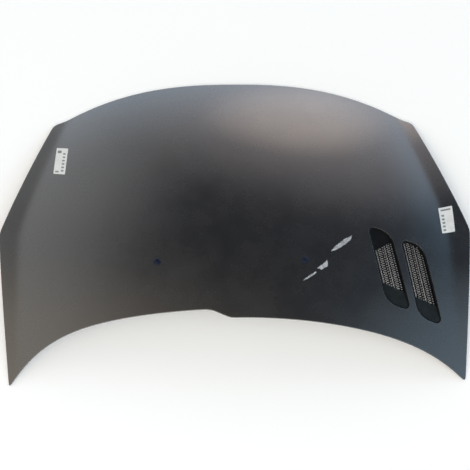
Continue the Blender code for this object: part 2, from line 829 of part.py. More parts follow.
def make_striker(frame, frame_tree, parts, cutters, finish):
    """The latch striker: a base under the nose platform, a rod loop, a backing plate and bolts."""
    centre = (0.0, NOSE_Y - (NOSE_STATIONS[-2] + NOSE_STATIONS[-1]) / 2)
    size = (STRIKER_WIDTH, STRIKER_LENGTH)
    under = seat(frame_tree, centre, size, 0, above=False)
    backing = (BACKING_WIDTH, STRIKER_LENGTH)
    level = level_above(frame_tree, centre, backing, 0, under)
    bolts = (-STRIKER_BOLT_X, STRIKER_BOLT_X)
    hole = BOLT_RADIUS + BOLT_PLAY
    plate_with_holes(
        "striker_base",
        size,
        STRIKER_WALL,
        bolts,
        hole,
        parts,
        cutters,
        finish["zinc"],
        under,
        -STRIKER_WALL,
    )
    plate_with_holes(
        "latch_reinforcement",
        backing,
        BACKING_WALL,
        bolts,
        hole,
        parts,
        cutters,
        finish["steel"],
        under,
        level,
    )
    stack = level + BACKING_WALL
    for side, x in zip(("left", "right"), bolts):
        seat_here = under @ Matrix.Translation((x, 0, 0))
        drill(frame, seat_here, hole + BOLT_PLAY, cutters, f"striker_bolt_hole_{side}")
        head_top = -STRIKER_WALL - GAP
        head_low = head_top - BOLT_HEAD_HEIGHT
        head = cylinder_mesh("bolt_head", BOLT_HEAD_RADIUS, head_low, head_top, HEXAGON)
        bolt = add_object(f"striker_bolt_{side}", head, parts, finish["zinc"])
        bolt.matrix_world = seat_here
        shank_low = head_top - BOLT_HEAD_HEIGHT / 2
        shank = cylinder_mesh("bolt_shank", BOLT_RADIUS, shank_low, stack + BOLT_TIP, BOLT_STEPS)
        core = add_object(f"bolt_shank_{side}", shank, cutters)
        core.matrix_world = seat_here
        core.hide_render = True
        core.display_type = "WIRE"
        boolean(bolt, core, "UNION")

    spline_points = striker_path()
    curve = bpy.data.curves.new("striker_loop", "CURVE")
    curve.dimensions = "3D"
    curve.bevel_depth = STRIKER_ROD_RADIUS
    curve.bevel_resolution = 2
    curve.use_fill_caps = True
    spline = curve.splines.new("POLY")
    spline.points.add(len(spline_points) - 1)
    for point, where in zip(spline.points, spline_points):
        point.co = (*where, 1)
    loop = bpy.data.objects.new("striker_loop", curve)
    curve.materials.append(finish["zinc"])
    parts.objects.link(loop)
    loop.matrix_world = under


def striker_path():
    """The U of the striker rod: down one leg, round two bends and up the other."""
    top = -STRIKER_WALL - GAP
    low = top - STRIKER_DROP + STRIKER_ROD_RADIUS
    bend = STRIKER_BEND * STRIKER_ROD_RADIUS
    points = [(-STRIKER_HALF_SPAN, 0, top)]
    for sign, start in ((-1, math.pi), (1, 1.5 * math.pi)):
        for step in range(BEND_STEPS + 1):
            angle = start + step * math.pi / 2 / BEND_STEPS
            x = sign * (STRIKER_HALF_SPAN - bend) + bend * math.cos(angle)
            points.append((x, 0, low + bend + bend * math.sin(angle)))
    points.append((STRIKER_HALF_SPAN, 0, top))
    return points


def make_hinge_pad(side, frame, frame_tree, parts, cutters, finish):
    """A hinge pad under the rear beam, with two weld nuts inside the beam above its holes."""
    sign = 1 if side == "right" else -1
    u = sign * HINGE_SHARE
    v = (REAR_STATIONS[1] + REAR_STATIONS[2]) / 2 / float(nose_line(u) - rear_line(u))
    x, y = (float(value) for value in plan(u, v))
    ahead = plan(u + 0.05, v)
    behind = plan(u - 0.05, v)
    turn = math.atan2(float(ahead[1] - behind[1]), float(ahead[0] - behind[0]))
    size = (HINGE_LENGTH, HINGE_WIDTH)
    under = seat(frame_tree, (x, y), size, turn, above=False)
    nuts_size = (HINGE_HOLE_SPACING + 2 * NUT_RADIUS, 2 * NUT_RADIUS)
    level = level_above(frame_tree, (x, y), nuts_size, turn, under)
    holes = (-HINGE_HOLE_SPACING / 2, HINGE_HOLE_SPACING / 2)
    plate_with_holes(
        f"hinge_pad_{side}",
        size,
        HINGE_WALL,
        holes,
        HINGE_HOLE_RADIUS,
        parts,
        cutters,
        finish["steel"],
        under,
        -HINGE_WALL,
    )
    for end, offset in zip(("a", "b"), holes):
        seat_here = under @ Matrix.Translation((offset, 0, 0))
        drill(frame, seat_here, HINGE_HOLE_RADIUS, cutters, f"hinge_hole_{side}_{end}")
        mesh = cylinder_mesh("nut", NUT_RADIUS, level, level + NUT_HEIGHT, HEXAGON)
        nut = add_object(f"hinge_nut_{side}_{end}", mesh, parts, finish["zinc"])
        nut.matrix_world = seat_here
        drill(nut, seat_here, HINGE_HOLE_RADIUS - BOLT_PLAY, cutters, f"nut_hole_{side}_{end}")


def make_bump_stop(side, frame, frame_tree, parts, cutters, finish):
    sign = 1 if side == "right" else -1
    inset = (SIDE_STATIONS[1] + SIDE_STATIONS[2]) / 2
    u = sign * (1 - inset / float(half_width(STOP_SHARE)))
    x, y = (float(value) for value in plan(u, STOP_SHARE))
    reach = ROUND_REACH * STOP_RADIUS
    placed = seat(frame_tree, (x, y), (reach, reach), 0, above=False)
    grip = FRAME_WALL + 4 * GAP
    profile = (
        (0, STOP_STEM_LENGTH),
        (STOP_BARB_END * STOP_BARB_RADIUS, STOP_STEM_LENGTH),
        (STOP_BARB_RADIUS, grip),
        (STOP_STEM_RADIUS, grip),
        (STOP_STEM_RADIUS, 0),
        (STOP_RADIUS, 0),
        (STOP_RADIUS, -STOP_CHAMFER_START * STOP_HEIGHT),
        (STOP_CHAMFER_END * STOP_RADIUS, -STOP_HEIGHT),
        (0, -STOP_HEIGHT),
    )
    stop = turned(f"bump_stop_{side}", profile, ROUND_STEPS, parts, finish["rubber"])
    stop.matrix_world = placed
    drill(frame, placed, STOP_STEM_RADIUS + 2 * GAP, cutters, f"stop_hole_{side}")


def make_dabs(skin_tree, frame_tree, parts, finish):
    """Mastic dabs on the flanges of the raked ribs, up to the skin."""
    offset = RIB_HALF - BEAM_FLANGE / 2
    number = 0
    for share in DAB_SHARES:
        half = float(half_width(share))
        for sign in (-1, 1):
            for lean in (-offset, offset):
                number += 1
                u = sign * (rib_share(share) + lean / half)
                centre = tuple(float(value) for value in plan(u, share))
                reach = ROUND_REACH * DAB_RADIUS
                low = seat(frame_tree, centre, (reach, reach), 0, above=True)
                high = seat(skin_tree, centre, (reach, reach), 0, above=False)
                tall = (high.translation - low.translation).dot(low.to_3x3() @ Vector((0, 0, 1)))
                mesh = cylinder_mesh("dab", DAB_RADIUS, 0, tall - GAP, DAB_SIDES)
                dab = add_object(f"mastic_dab_{number}", mesh, parts, finish["mastic"])
                dab.matrix_world = low


def stand_on_origin(parts):
    """Parents every piece to one empty, which puts the bottom centre of the panel at the origin."""
    x, y = grid_plan(0.0)
    empty = bpy.data.objects.new("bonnet_origin", None)
    parts.objects.link(empty)
    middle = ((x.min() + x.max()) / 2, (y.min() + y.max()) / 2)
    for piece in list(bpy.data.objects):
        if piece is not empty:
            piece.parent = empty
    empty.location = (-middle[0], -middle[1], -LOWEST)
    bpy.context.view_layer.update()


def main():
    clear_scene()
    parts = new_collection("car_bonnet")
    cutters = new_collection("cutters", hidden=True)
    finish = finishes()
    skin = make_skin(parts, finish["paint"])
    frame = make_frame(parts, finish["primer"])
    skin_tree = tree_of(skin)
    frame_tree = tree_of(frame)
    outer_vent = (VENT_INNER[0] + VENT_SHIFT[0], VENT_INNER[1] + VENT_SHIFT[1])
    make_vent("inner", VENT_INNER, True, skin, skin_tree, parts, cutters, finish)
    make_vent("outer", outer_vent, False, skin, skin_tree, parts, cutters, finish)
    make_dabs(skin_tree, frame_tree, parts, finish)
    make_striker(frame, frame_tree, parts, cutters, finish)
    for side in ("left", "right"):
        make_jet(side, skin, skin_tree, parts, cutters, finish)
        make_hinge_pad(side, frame, frame_tree, parts, cutters, finish)
        make_bump_stop(side, frame, frame_tree, parts, cutters, finish)
    stand_on_origin(parts)


main()
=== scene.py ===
"""Looks of the car bonnet: painted skin, mesh vents, fittings, floor, lights and camera."""

import math

import bpy
import numpy as np
from mathutils import Matrix, Vector
from mathutils.geometry import delaunay_2d_cdt


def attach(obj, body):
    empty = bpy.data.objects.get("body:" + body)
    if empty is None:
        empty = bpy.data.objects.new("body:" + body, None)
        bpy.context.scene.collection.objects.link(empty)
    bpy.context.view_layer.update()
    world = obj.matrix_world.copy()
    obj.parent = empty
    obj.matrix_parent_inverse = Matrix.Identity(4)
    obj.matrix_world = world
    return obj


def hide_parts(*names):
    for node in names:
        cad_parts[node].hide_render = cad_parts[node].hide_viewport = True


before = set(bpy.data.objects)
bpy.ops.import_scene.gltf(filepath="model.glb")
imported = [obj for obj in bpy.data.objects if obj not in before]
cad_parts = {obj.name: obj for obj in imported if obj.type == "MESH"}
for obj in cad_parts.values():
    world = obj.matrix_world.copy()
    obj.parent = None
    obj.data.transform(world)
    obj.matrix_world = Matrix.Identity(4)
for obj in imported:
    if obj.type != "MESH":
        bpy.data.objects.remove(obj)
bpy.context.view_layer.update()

# The same outline and crown as the CAD source, in its own axes
NOSE_Y, TIP_Y = 0.492, -0.492
NOSE_HALF, KINK_HALF, TIP_HALF = 0.575, 0.709, 0.650
KINK_Y, KINK_ROUND = -0.038, 0.0025
NOSE_SWEEP, NOSE_POWER = 0.158, 2.6
CORNER_KICK, CORNER_KICK_WIDTH = 0.25, 0.035
REAR_BOW_RIGHT, REAR_BOW_LEFT = 0.166, 0.192
REAR_SHARE_RIGHT, REAR_SHARE_LEFT = 0.67, 0.40
REAR_TIP_POWER = 7.0
STEP_X, STEP_WIDTH = -0.091, 0.08
NOSE_DROP, NOSE_DROP_POWER = 0.142, 2.6
REAR_DROP, SIDE_DROP, SIDE_DROP_POWER = 0.030, 0.092, 2.2
TIP_EXTRA_DROP, TIP_EXTRA_START_Y = 0.046, 0.10
FLANK_FLARE, CREASE_ROUND = 0.18, 0.012
BAND_NOSE, BAND_KINK, BAND_TIP = 0.035, 0.061, 0.022
CORNER_ROUND = 0.015

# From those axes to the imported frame's
ORIGIN = Vector((0.0, -0.004246, 0.147447))

# The sheet, its rolled hem and its lip round the vents
SKIN_WALL = 0.0008
GAP = 0.0003
HEM_WIDTH = 0.011
HEM_DEPTH = 3 * SKIN_WALL + 2 * GAP
LIP_ROUND, LIP_DEPTH = 0.0006, 0.0024

# Air vents: middles, and the aperture's corners (x, y, radius) in the plane of the skin there
VENT_INNER = (0.4425, -0.174)
VENT_OUTER = (0.5385, -0.211)
VENT_CORNERS = (
    (0.0572, -0.1252, 0.015),
    (0.0128, 0.1117, 0.058),
    (-0.0585, 0.1316, 0.015),
    (-0.0185, -0.1041, 0.058),
)
COLLAR_PLAY = 0.0005
COLLAR_WALL = 0.0038
COLLAR_DEPTH = 0.011
RIM_ROUND, RIM_STEPS = 0.0012, 4
FLANGE_REACH = 0.009
FLANGE_TOP, FLANGE_LOW = 0.0029, 0.0049
# How far into the collar's wall these reach, in shares of it
PLATE_SHARE, RAMP_SHARE, HOLES_SHARE = 0.5, 0.65, 0.75

# The ramp behind the net, and the inner vent's front, closed without holes or knuckles as painted
# shade, by lines across the vent
RAMP_START, RAMP_SLANT = -0.052, -0.43
RAMP_TOP_DROP, RAMP_STAND = 0.0022, 0.0004
RAMP_POWER = 1.35
SHADE_BLANK_START, SHADE_BLANK_SLANT = 0.0758, 0.58

# The honeycomb net: zigzag strands, bridged, with knuckles on every other one of them
NET_LEAN = math.radians(10)
NET_ACROSS, NET_ALONG, NET_ZIGZAG = 0.007, 0.00365, 0.0022
NET_DEPTH, NET_WALL = 0.006, 0.005
NET_COLUMNS, NET_ROWS = 10, 22
STRAND_WIDTH, STRAND_ROUND = 0.0032, 0.0006
# A hole's side, down through the plate: how much wider, in shares of STRAND_ROUND, than at
# its narrowest, and how deep, in shares of NET_WALL
STRAND_PROFILE = ((0.25, 0.125), (0.0, 0.35), (0.25, 0.85))
HOLE_CORNER = 0.0007
HOLE_MARGIN = 0.0006
LEAST_HOLE_SIDE, LEAST_HOLE_AREA = 0.00025, 3e-6
KNUCKLE_HALF_WIDTH, KNUCKLE_HALF_LENGTH = 0.0022, 0.0018
KNUCKLE_HEIGHT, KNUCKLE_SUNK = 0.0013, 0.0004
KNUCKLE_RISE = (0.3, 0.55, 0.75, 0.92)
KNUCKLE_TO_COLLAR, KNUCKLE_TO_RAMP = 0.0016, 0.001

# Washer jets: the dome in shares of the head's radius and height, from its top, and the
# nozzle's ball in shares of its own radius
JETS = {"left": (-0.230, -0.157), "right": (0.194, -0.157)}
JET_HEAD_RADIUS, JET_HEAD_HEIGHT = 0.0105, 0.0046
JET_STEM_RADIUS, JET_STEM_LENGTH = 0.0046, 0.017
JET_HOLE_RADIUS = 0.0052
JET_DOME = ((0.30, 1.0), (0.45, 0.95), (0.62, 0.86), (0.78, 0.70), (0.90, 0.48), (0.97, 0.28))
NOZZLE = ((1.0, -0.6), (1.0, 0.0), (0.87, 0.5), (0.62, 0.78), (0.34, 0.90), (0.30, 0.60))
NOZZLE_AIM = (0, -0.80, 0.60)

# Paper labels by their corners in plan, with plain bars by (left, low, right, high) shares
LABEL_LEFT = ((-0.520, 0.148), (-0.518, 0.245), (-0.555, 0.252), (-0.557, 0.155))
LABEL_RIGHT = ((0.660, -0.045), (0.660, 0.040), (0.615, 0.029), (0.618, -0.054))
LABEL_WALL, LABEL_LIFT = 0.00025, 0.00008
LABEL_ROUND = 0.04
BARS_LEFT = [(0.62, 0.10 + 0.13 * k, 0.84, 0.16 + 0.13 * k) for k in range(6)]
BARS_LEFT += [(0.12, 0.80, 0.46, 0.90), (0.14, 0.06, 0.44, 0.11)]
BARS_RIGHT = [(0.14, 0.08 + 0.14 * k, 0.34, 0.15 + 0.14 * k) for k in range(5)]
BARS_RIGHT += [(0.14, 0.86, 0.86, 0.92)]

# Pale grey marks on the paint, in plan
PALE_MARKS = (
    (
        (0.186, -0.2195), (0.205, -0.2095), (0.225, -0.1955),
        (0.2235, -0.191), (0.204, -0.2035), (0.188, -0.2155),
    ),
    (
        (0.228, -0.181), (0.2405, -0.1855), (0.259, -0.174),
        (0.260, -0.166), (0.257, -0.154), (0.255, -0.1605),
    ),
    (
        (0.270, -0.130), (0.289, -0.123), (0.312, -0.108), (0.331, -0.092),
        (0.337, -0.078), (0.314, -0.089), (0.282, -0.115),
    ),
)

# Fineness of the meshes: distances between points, then counts
SKIN_PITCH, EDGE_PITCH = 0.0066, 0.005
VENT_PITCH, BORDER_PITCH, PALE_MARK_PITCH = 0.004, 0.003, 0.003
RAMP_PITCH, RAMP_CLEAR = 0.0025, 0.0014
LABEL_PITCH, LABEL_GRID = 0.06, 13
ACROSS_SAMPLES, ALONG_SAMPLES = 281, 171
CORNER_STEPS, VENT_CORNER_STEPS = 8, 14
FOLD_STEPS, LIP_STEPS = 8, 5
JET_SIDES, JET_HOLE_SIDES, KNUCKLE_SIDES = 40, 24, 12
DROP_ROUNDS = 12
MERGE_UNDER = 1e-7


# Outline and crown


def soft_positive(value, width):
    return 0.5 * (value + np.sqrt(value * value + width * width))


def soft_lower(a, b, width):
    return 0.5 * (a + b) - np.sqrt((0.5 * (a - b)) ** 2 + width * width)


def smooth_step(t):
    t = np.clip(t, 0.0, 1.0)
    return t * t * (3.0 - 2.0 * t)


def nose_line(u):
    bow = NOSE_SWEEP * np.abs(u) ** NOSE_POWER
    beyond = NOSE_HALF * np.abs(u) - (NOSE_HALF - CORNER_KICK_WIDTH)
    return NOSE_Y - bow + CORNER_KICK * soft_positive(beyond, CORNER_KICK_WIDTH / 6)


def rear_curve(u, bow, share):
    u = np.abs(u)
    return TIP_Y + bow * (1 - share * u**2 - (1 - share) * u**REAR_TIP_POWER)


def rear_line(u):
    right = rear_curve(u, REAR_BOW_RIGHT, REAR_SHARE_RIGHT)
    left = rear_curve(u, REAR_BOW_LEFT, REAR_SHARE_LEFT)
    blend = smooth_step((u * TIP_HALF - STEP_X) / STEP_WIDTH)
    return np.where(u < 0, left + (right - left) * blend, right)


SIDE_FRONT_Y = float(nose_line(1.0))
KINK_SHARE = (KINK_Y - TIP_Y) / (SIDE_FRONT_Y - TIP_Y)


def half_width(v):
    wing = TIP_HALF + (KINK_HALF - TIP_HALF) * v / KINK_SHARE
    lamp = NOSE_HALF + (KINK_HALF - NOSE_HALF) * (1 - v) / (1 - KINK_SHARE)
    return soft_lower(wing, lamp, KINK_ROUND)


def plan(u, v):
    return u * half_width(v), (1 - v) * rear_line(u) + v * nose_line(u)


def crease_half_width(y):
    tip = TIP_HALF - BAND_TIP
    kink = KINK_HALF - BAND_KINK
    nose = NOSE_HALF - BAND_NOSE
    wing = tip + (kink - tip) * (y - TIP_Y) / (KINK_Y - TIP_Y)
    lamp = nose + (kink - nose) * (SIDE_FRONT_Y - y) / (SIDE_FRONT_Y - KINK_Y)
    return soft_lower(wing, lamp, CREASE_ROUND / 2)


def skin_height(x, y):
    rear = TIP_Y + REAR_BOW_RIGHT
    t = (y - rear) / (NOSE_Y - rear)
    middle = -NOSE_DROP * np.clip(t, 0, None) ** NOSE_DROP_POWER - REAR_DROP * (1 - t)
    rearward = np.clip((TIP_EXTRA_START_Y - y) / (TIP_EXTRA_START_Y - TIP_Y), 0, 1)
    side = SIDE_DROP + TIP_EXTRA_DROP * rearward**2
    flare = FLANK_FLARE * soft_positive(np.abs(x) - crease_half_width(y), CREASE_ROUND)
    return middle - side * (np.abs(x) / KINK_HALF) ** SIDE_DROP_POWER + flare


def slopes(x, y, step=0.0005):
    along_x = (skin_height(x + step, y) - skin_height(x - step, y)) / (2 * step)
    along_y = (skin_height(x, y + step) - skin_height(x, y - step)) / (2 * step)
    return along_x, along_y


def skin_points(xy, depth):
    """World points that lie a depth below the outer surface, at plan points xy."""
    x, y = xy[:, 0], xy[:, 1]
    along_x, along_y = slopes(x, y)
    z = skin_height(x, y) - depth * np.sqrt(1 + along_x**2 + along_y**2)
    return np.column_stack([x, y, z]) + np.array(ORIGIN)


def skin_normals(xy):
    along_x, along_y = slopes(xy[:, 0], xy[:, 1])
    normal = np.column_stack([-along_x, -along_y, np.ones(len(xy))])
    return normal / np.linalg.norm(normal, axis=1)[:, None]


def tangent_frame(x, y):
    """A frame on the outer surface, in model axes, with Z square to it and X across the car."""
    step = 0.01
    across = Vector((2 * step, 0, float(skin_height(x + step, y) - skin_height(x - step, y))))
    along = Vector((0, 2 * step, float(skin_height(x, y + step) - skin_height(x, y - step))))
    normal = across.cross(along).normalized()
    axis_x = across.normalized()
    placed = Matrix((axis_x, normal.cross(axis_x), normal)).transposed().to_4x4()
    placed.translation = Vector((x, y, float(skin_height(x, y))))
    return placed


def drop_on_skin(placed, local):
    """Plan points, and distances along the frame's Z, where its Z lines meet the skin."""
    turn = np.array(placed.to_3x3())
    start = local @ turn[:, :2].T + np.array(placed.translation)
    normal = turn[:, 2]
    t = np.zeros(len(local))
    for _ in range(DROP_ROUNDS):
        here = start + t[:, None] * normal
        along_x, along_y = slopes(here[:, 0], here[:, 1])
        miss = skin_height(here[:, 0], here[:, 1]) - here[:, 2]
        t += miss / (normal[2] - along_x * normal[0] - along_y * normal[1])
    here = start + t[:, None] * normal
    return here[:, :2], t


# Outlines in the plane


def resample(points, pitch, closed=True):
    """The same line with points no further apart than pitch, keeping its corners."""
    points = np.asarray(points, float)
    count = len(points) if closed else len(points) - 1
    out = []
    for k in range(count):
        a, b = points[k], points[(k + 1) % len(points)]
        steps = max(1, math.ceil(np.linalg.norm(b - a) / pitch))
        out += [a + (b - a) * s / steps for s in range(steps)]
    if not closed:
        out.append(points[-1])
    return np.array(out)


def outward(points):
    """Outward unit normals of a closed anticlockwise line."""
    ahead = np.roll(points, -1, axis=0) - points
    behind = points - np.roll(points, 1, axis=0)
    ahead = ahead / np.linalg.norm(ahead, axis=1)[:, None]
    behind = behind / np.linalg.norm(behind, axis=1)[:, None]
    along = ahead + behind
    along /= np.linalg.norm(along, axis=1)[:, None]
    return np.column_stack([along[:, 1], -along[:, 0]])


def panel_outline():
    """The panel's edge in plan, anticlockwise, with its four corners rounded."""
    share = np.linspace(-1, 1, ACROSS_SAMPLES)
    length = np.linspace(0, 1, ALONG_SAMPLES)
    sides = (
        plan(share, np.zeros_like(share)),
        plan(np.ones_like(length), length),
        plan(share[::-1], np.ones_like(share)),
        plan(-np.ones_like(length), length[::-1]),
    )
    trimmed = []
    for x, y in sides:
        line = np.column_stack([x, y])
        run = np.concatenate([[0], np.cumsum(np.linalg.norm(np.diff(line, axis=0), axis=1))])
        steps = int((run[-1] - 2 * CORNER_ROUND) / EDGE_PITCH)
        at = np.linspace(CORNER_ROUND, run[-1] - CORNER_ROUND, steps)
        trimmed.append(np.column_stack([np.interp(at, run, x), np.interp(at, run, y)]))
    points = []
    for k, line in enumerate(trimmed):
        following = trimmed[(k + 1) % 4]
        corner = np.array([sides[k][0][-1], sides[k][1][-1]])
        points += list(line)
        for s in np.linspace(0, 1, CORNER_STEPS + 1)[1:-1]:
            bend = (1 - s) ** 2 * line[-1] + 2 * s * (1 - s) * corner
            points.append(bend + s * s * following[0])
    return np.array(points)


def rounded_outline(corners, steps):
    """Points of a convex outline with (x, y, radius) corners, anticlockwise."""
    points = []
    count = len(corners)
    for k, (x, y, radius) in enumerate(corners):
        here = Vector((x, y))
        before = (Vector(corners[k - 1][:2]) - here).normalized()
        after = (Vector(corners[(k + 1) % count][:2]) - here).normalized()
        centre = here + (before + after).normalized() * radius / math.sin(before.angle(after) / 2)
        start = Vector((-before.y, before.x))
        start = start if start.dot(here - centre) > 0 else -start
        turn = math.pi - before.angle(after)
        first = math.atan2(start.y, start.x)
        for step in range(steps + 1):
            angle = first + turn * step / steps
            points.append(centre + Vector((math.cos(angle), math.sin(angle))) * radius)
    return np.array([tuple(p) for p in points])


def ragged(polygon, pitch=0.004, amount=0.0007):
    """The polygon with its edge moved a little by a fixed wave, so that it isn't ruled."""
    line = resample(polygon, pitch)
    step = np.arange(len(line))
    wave = np.sin(step * 2.4) + 0.6 * np.sin(step * 5.1)
    return line + outward(line) * (amount * wave)[:, None]


def unit_circle(sides):
    turn = np.linspace(0, 2 * math.pi, sides, endpoint=False)
    return np.column_stack([np.cos(turn), np.sin(turn)])


def inside(polygon, points):
    """Whether each point lies inside a closed polygon."""
    found = np.zeros(len(points), bool)
    x, y = points[:, 0], points[:, 1]
    for a, b in zip(polygon, np.roll(polygon, -1, axis=0)):
        if a[1] == b[1]:
            continue
        crosses = (a[1] > y) != (b[1] > y)
        found ^= crosses & (x < (b[0] - a[0]) * (y - a[1]) / (b[1] - a[1]) + a[0])
    return found


def within(loops, xy, triangles):
    """Whether each triangle has its middle inside any of the loops."""
    middle = xy[triangles].mean(axis=1)
    found = np.zeros(len(triangles), bool)
    for loop in loops:
        centre = loop.mean(axis=0)
        close = np.abs(middle - centre).max(axis=1) <= np.abs(loop - centre).max()
        found[close] |= inside(loop, middle[close])
    return found


def near(lines, points, reach):
    """Whether each point is in a square of a grid, reach wide, at or beside a line's point."""
    taken = set()
    for line in lines:
        for x, y in np.round(line / reach).astype(int):
            taken.update((x + i, y + j) for i in (-1, 0, 1) for j in (-1, 0, 1))
    return np.array([(x, y) in taken for x, y in np.round(points / reach).astype(int)])


def triangulate(loops, fill):
    """Triangles between closed loops and fill points, facing up: (points, triangles)."""
    coords = []
    edges = []
    for loop in loops:
        first = len(coords)
        coords += [tuple(p) for p in loop]
        edges += [(first + k, first + (k + 1) % len(loop)) for k in range(len(loop))]
    coords += [tuple(p) for p in fill]
    made = delaunay_2d_cdt([Vector(c) for c in coords], edges, [], 0, MERGE_UNDER)
    if len(made[0]) != len(coords):
        raise ValueError("two outline points fall together")
    xy, triangles = np.array(coords), np.array(made[2])
    a, b, c = (xy[triangles[:, k]] for k in range(3))
    ab, ac = b - a, c - a
    turned = ab[:, 0] * ac[:, 1] < ab[:, 1] * ac[:, 0]
    triangles[turned] = triangles[turned][:, ::-1]
    return xy, triangles


class Shell:
    """Vertices and faces gathered for one piece, with a material pick for each face."""

    def __init__(self):
        self.verts = []
        self.faces = []
        self.picks = []

    def ring(self, points):
        first = len(self.verts)
        self.verts += [tuple(p) for p in points]
        return list(range(first, len(self.verts)))

    def fill(self, faces, pick=0):
        self.faces += [tuple(int(i) for i in f) for f in faces]
        self.picks += list(np.broadcast_to(pick, len(faces)))

    def join(self, rings, pick=0):
        """Quads between each ring and the next."""
        for first, second in zip(rings, rings[1:]):
            ahead = zip(first[1:] + first[:1], second[1:] + second[:1])
            self.fill([(a, c, d, b) for a, b, (c, d) in zip(first, second, ahead)], pick)

    def close(self, rings, pick=0):
        """A closed form through rings from its low end to its top."""
        self.join(rings, pick)
        self.fill([rings[-1]], pick)
        self.fill([rings[0][::-1]], pick)


def lifted(xy, z):
    """Local points from plan points and a height or heights."""
    return np.column_stack([xy, np.broadcast_to(z, len(xy))])


# Objects and materials


def add(name, shell, materials, sharp, placed=None):
    """A piece from a shell, whose points are local to placed, in model axes, if it is given."""
    verts = shell.verts
    if placed is not None:
        moved = placed.copy()
        moved.translation += ORIGIN
        verts = [tuple(moved @ Vector(v)) for v in verts]
    mesh = bpy.data.meshes.new(name)
    mesh.from_pydata(verts, [], shell.faces)
    for material in materials:
        mesh.materials.append(material)
    mesh.polygons.foreach_set("material_index", np.asarray(shell.picks, np.int32))
    mesh.shade_smooth()
    mesh.set_sharp_from_angle(angle=math.radians(sharp))
    made = bpy.data.objects.new(name, mesh)
    bpy.context.scene.collection.objects.link(made)
    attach(made, "root")
    return made


class Nodes:
    """A small helper to write a node material in few lines."""

    def __init__(self, name):
        self.material = bpy.data.materials.new(name)
        self.material.use_nodes = True
        self.tree = self.material.node_tree
        self.shader = self.tree.nodes["Principled BSDF"]
        self.output = self.tree.nodes["Material Output"]
        self.coords = self.tree.nodes.new("ShaderNodeTexCoord").outputs["Object"]

    def plug(self, value, socket):
        """Link a socket to the value, or set it where it is a number or colour."""
        if isinstance(value, bpy.types.NodeSocket):
            self.tree.links.new(value, socket)
        elif isinstance(value, tuple):
            socket.default_value = (*value, 1.0)[: len(socket.default_value)]
        else:
            socket.default_value = value

    def set(self, **values):
        for key, value in values.items():
            self.plug(value, self.shader.inputs[key.replace("_", " ")])

    def node(self, kind, inputs=None, **attributes):
        made = self.tree.nodes.new(kind)
        for key, value in attributes.items():
            setattr(made, key, value)
        for key, value in (inputs or {}).items():
            self.plug(value, made.inputs[key])
        return made

    def noise(self, scale, detail=3.0, rough=0.55, vector=None):
        vector = self.coords if vector is None else vector
        inputs = {"Scale": scale, "Detail": detail, "Roughness": rough, "Vector": vector}
        return self.node("ShaderNodeTexNoise", inputs).outputs["Fac"]

    def remap(self, value, low, high, to_low=0.0, to_high=1.0):
        inputs = {
            "Value": value,
            "From Min": low,
            "From Max": high,
            "To Min": to_low,
            "To Max": to_high,
        }
        return self.node("ShaderNodeMapRange", inputs).outputs["Result"]

    def mix(self, factor, a, b):
        made = self.node("ShaderNodeMix", data_type="RGBA")
        for socket, value in zip((made.inputs[0], made.inputs[6], made.inputs[7]), (factor, a, b)):
            self.plug(value, socket)
        return made.outputs[2]

    def math(self, operation, a, b):
        made = self.node("ShaderNodeMath", operation=operation)
        self.plug(a, made.inputs[0])
        self.plug(b, made.inputs[1])
        return made.outputs[0]

    def bump(self, height, strength, distance, normal=None):
        inputs = {"Height": height, "Strength": strength, "Distance": distance}
        if normal is not None:
            inputs["Normal"] = normal
        return self.node("ShaderNodeBump", inputs).outputs["Normal"]


def paint_material():
    """Dark grey metallic under clear coat: flake, slow drift, dust film, orange peel and chips."""
    n = Nodes("metallic_paint")
    flake = n.noise(1400.0, 2.0)
    drift = n.noise(3.0, 3.0)
    dust = n.noise(9.0, 6.0, 0.65)
    grain = n.mix(n.remap(flake, 0.35, 0.65), (0.080, 0.080, 0.082), (0.150, 0.150, 0.154))
    tone = n.mix(n.remap(drift, 0.3, 0.7, 0.0, 0.4), grain, (0.132, 0.129, 0.126))
    chips = n.node("ShaderNodeTexVoronoi", {"Scale": 34.0, "Randomness": 1.0, "Vector": n.coords})
    rare = n.remap(n.noise(21.0, 1.0), 0.66, 0.70)
    chip = n.math("MULTIPLY", n.remap(chips.outputs["Distance"], 0.035, 0.020), rare)
    n.set(
        Base_Color=n.mix(chip, tone, (0.30, 0.30, 0.29)),
        Metallic=1.0,
        Roughness=n.remap(dust, 0.3, 0.75, 0.23, 0.32),
        Coat_Weight=1.0,
        Coat_Roughness=0.03,
        Coat_IOR=1.6,
        Normal=n.bump(flake, 0.08, 0.0003),
        Coat_Normal=n.bump(n.noise(110.0, 1.0), 0.03, 0.0006),
    )
    return n.material


def pale_mark_material():
    """Pale grey in uneven clouds, dull, for the marks on the paint."""
    n = Nodes("pale_marks_on_paint")
    cloud = n.noise(120.0, 5.0, 0.7)
    streak = n.noise(600.0, 2.0)
    n.set(
        Base_Color=n.mix(n.remap(cloud, 0.32, 0.62), (0.16, 0.165, 0.17), (0.50, 0.52, 0.55)),
        Metallic=0.1,
        Roughness=n.remap(cloud, 0.3, 0.7, 0.45, 0.65),
        Normal=n.bump(streak, 0.3, 0.0003),
    )
    return n.material


def coat_material(name, colour, rough):
    """Satin under-coat of the hidden sides, with faint dust and overspray."""
    n = Nodes(name)
    drift = n.noise(6.0, 5.0, 0.6)
    speck = n.noise(260.0, 3.0, 0.6)
    lighter = tuple(1.35 * c for c in colour)
    n.set(
        Base_Color=n.mix(n.remap(drift, 0.3, 0.7), colour, lighter),
        Metallic=0.25,
        Roughness=n.remap(drift, 0.3, 0.7, rough, rough + 0.14),
        Normal=n.bump(speck, 0.12, 0.0004),
    )
    return n.material


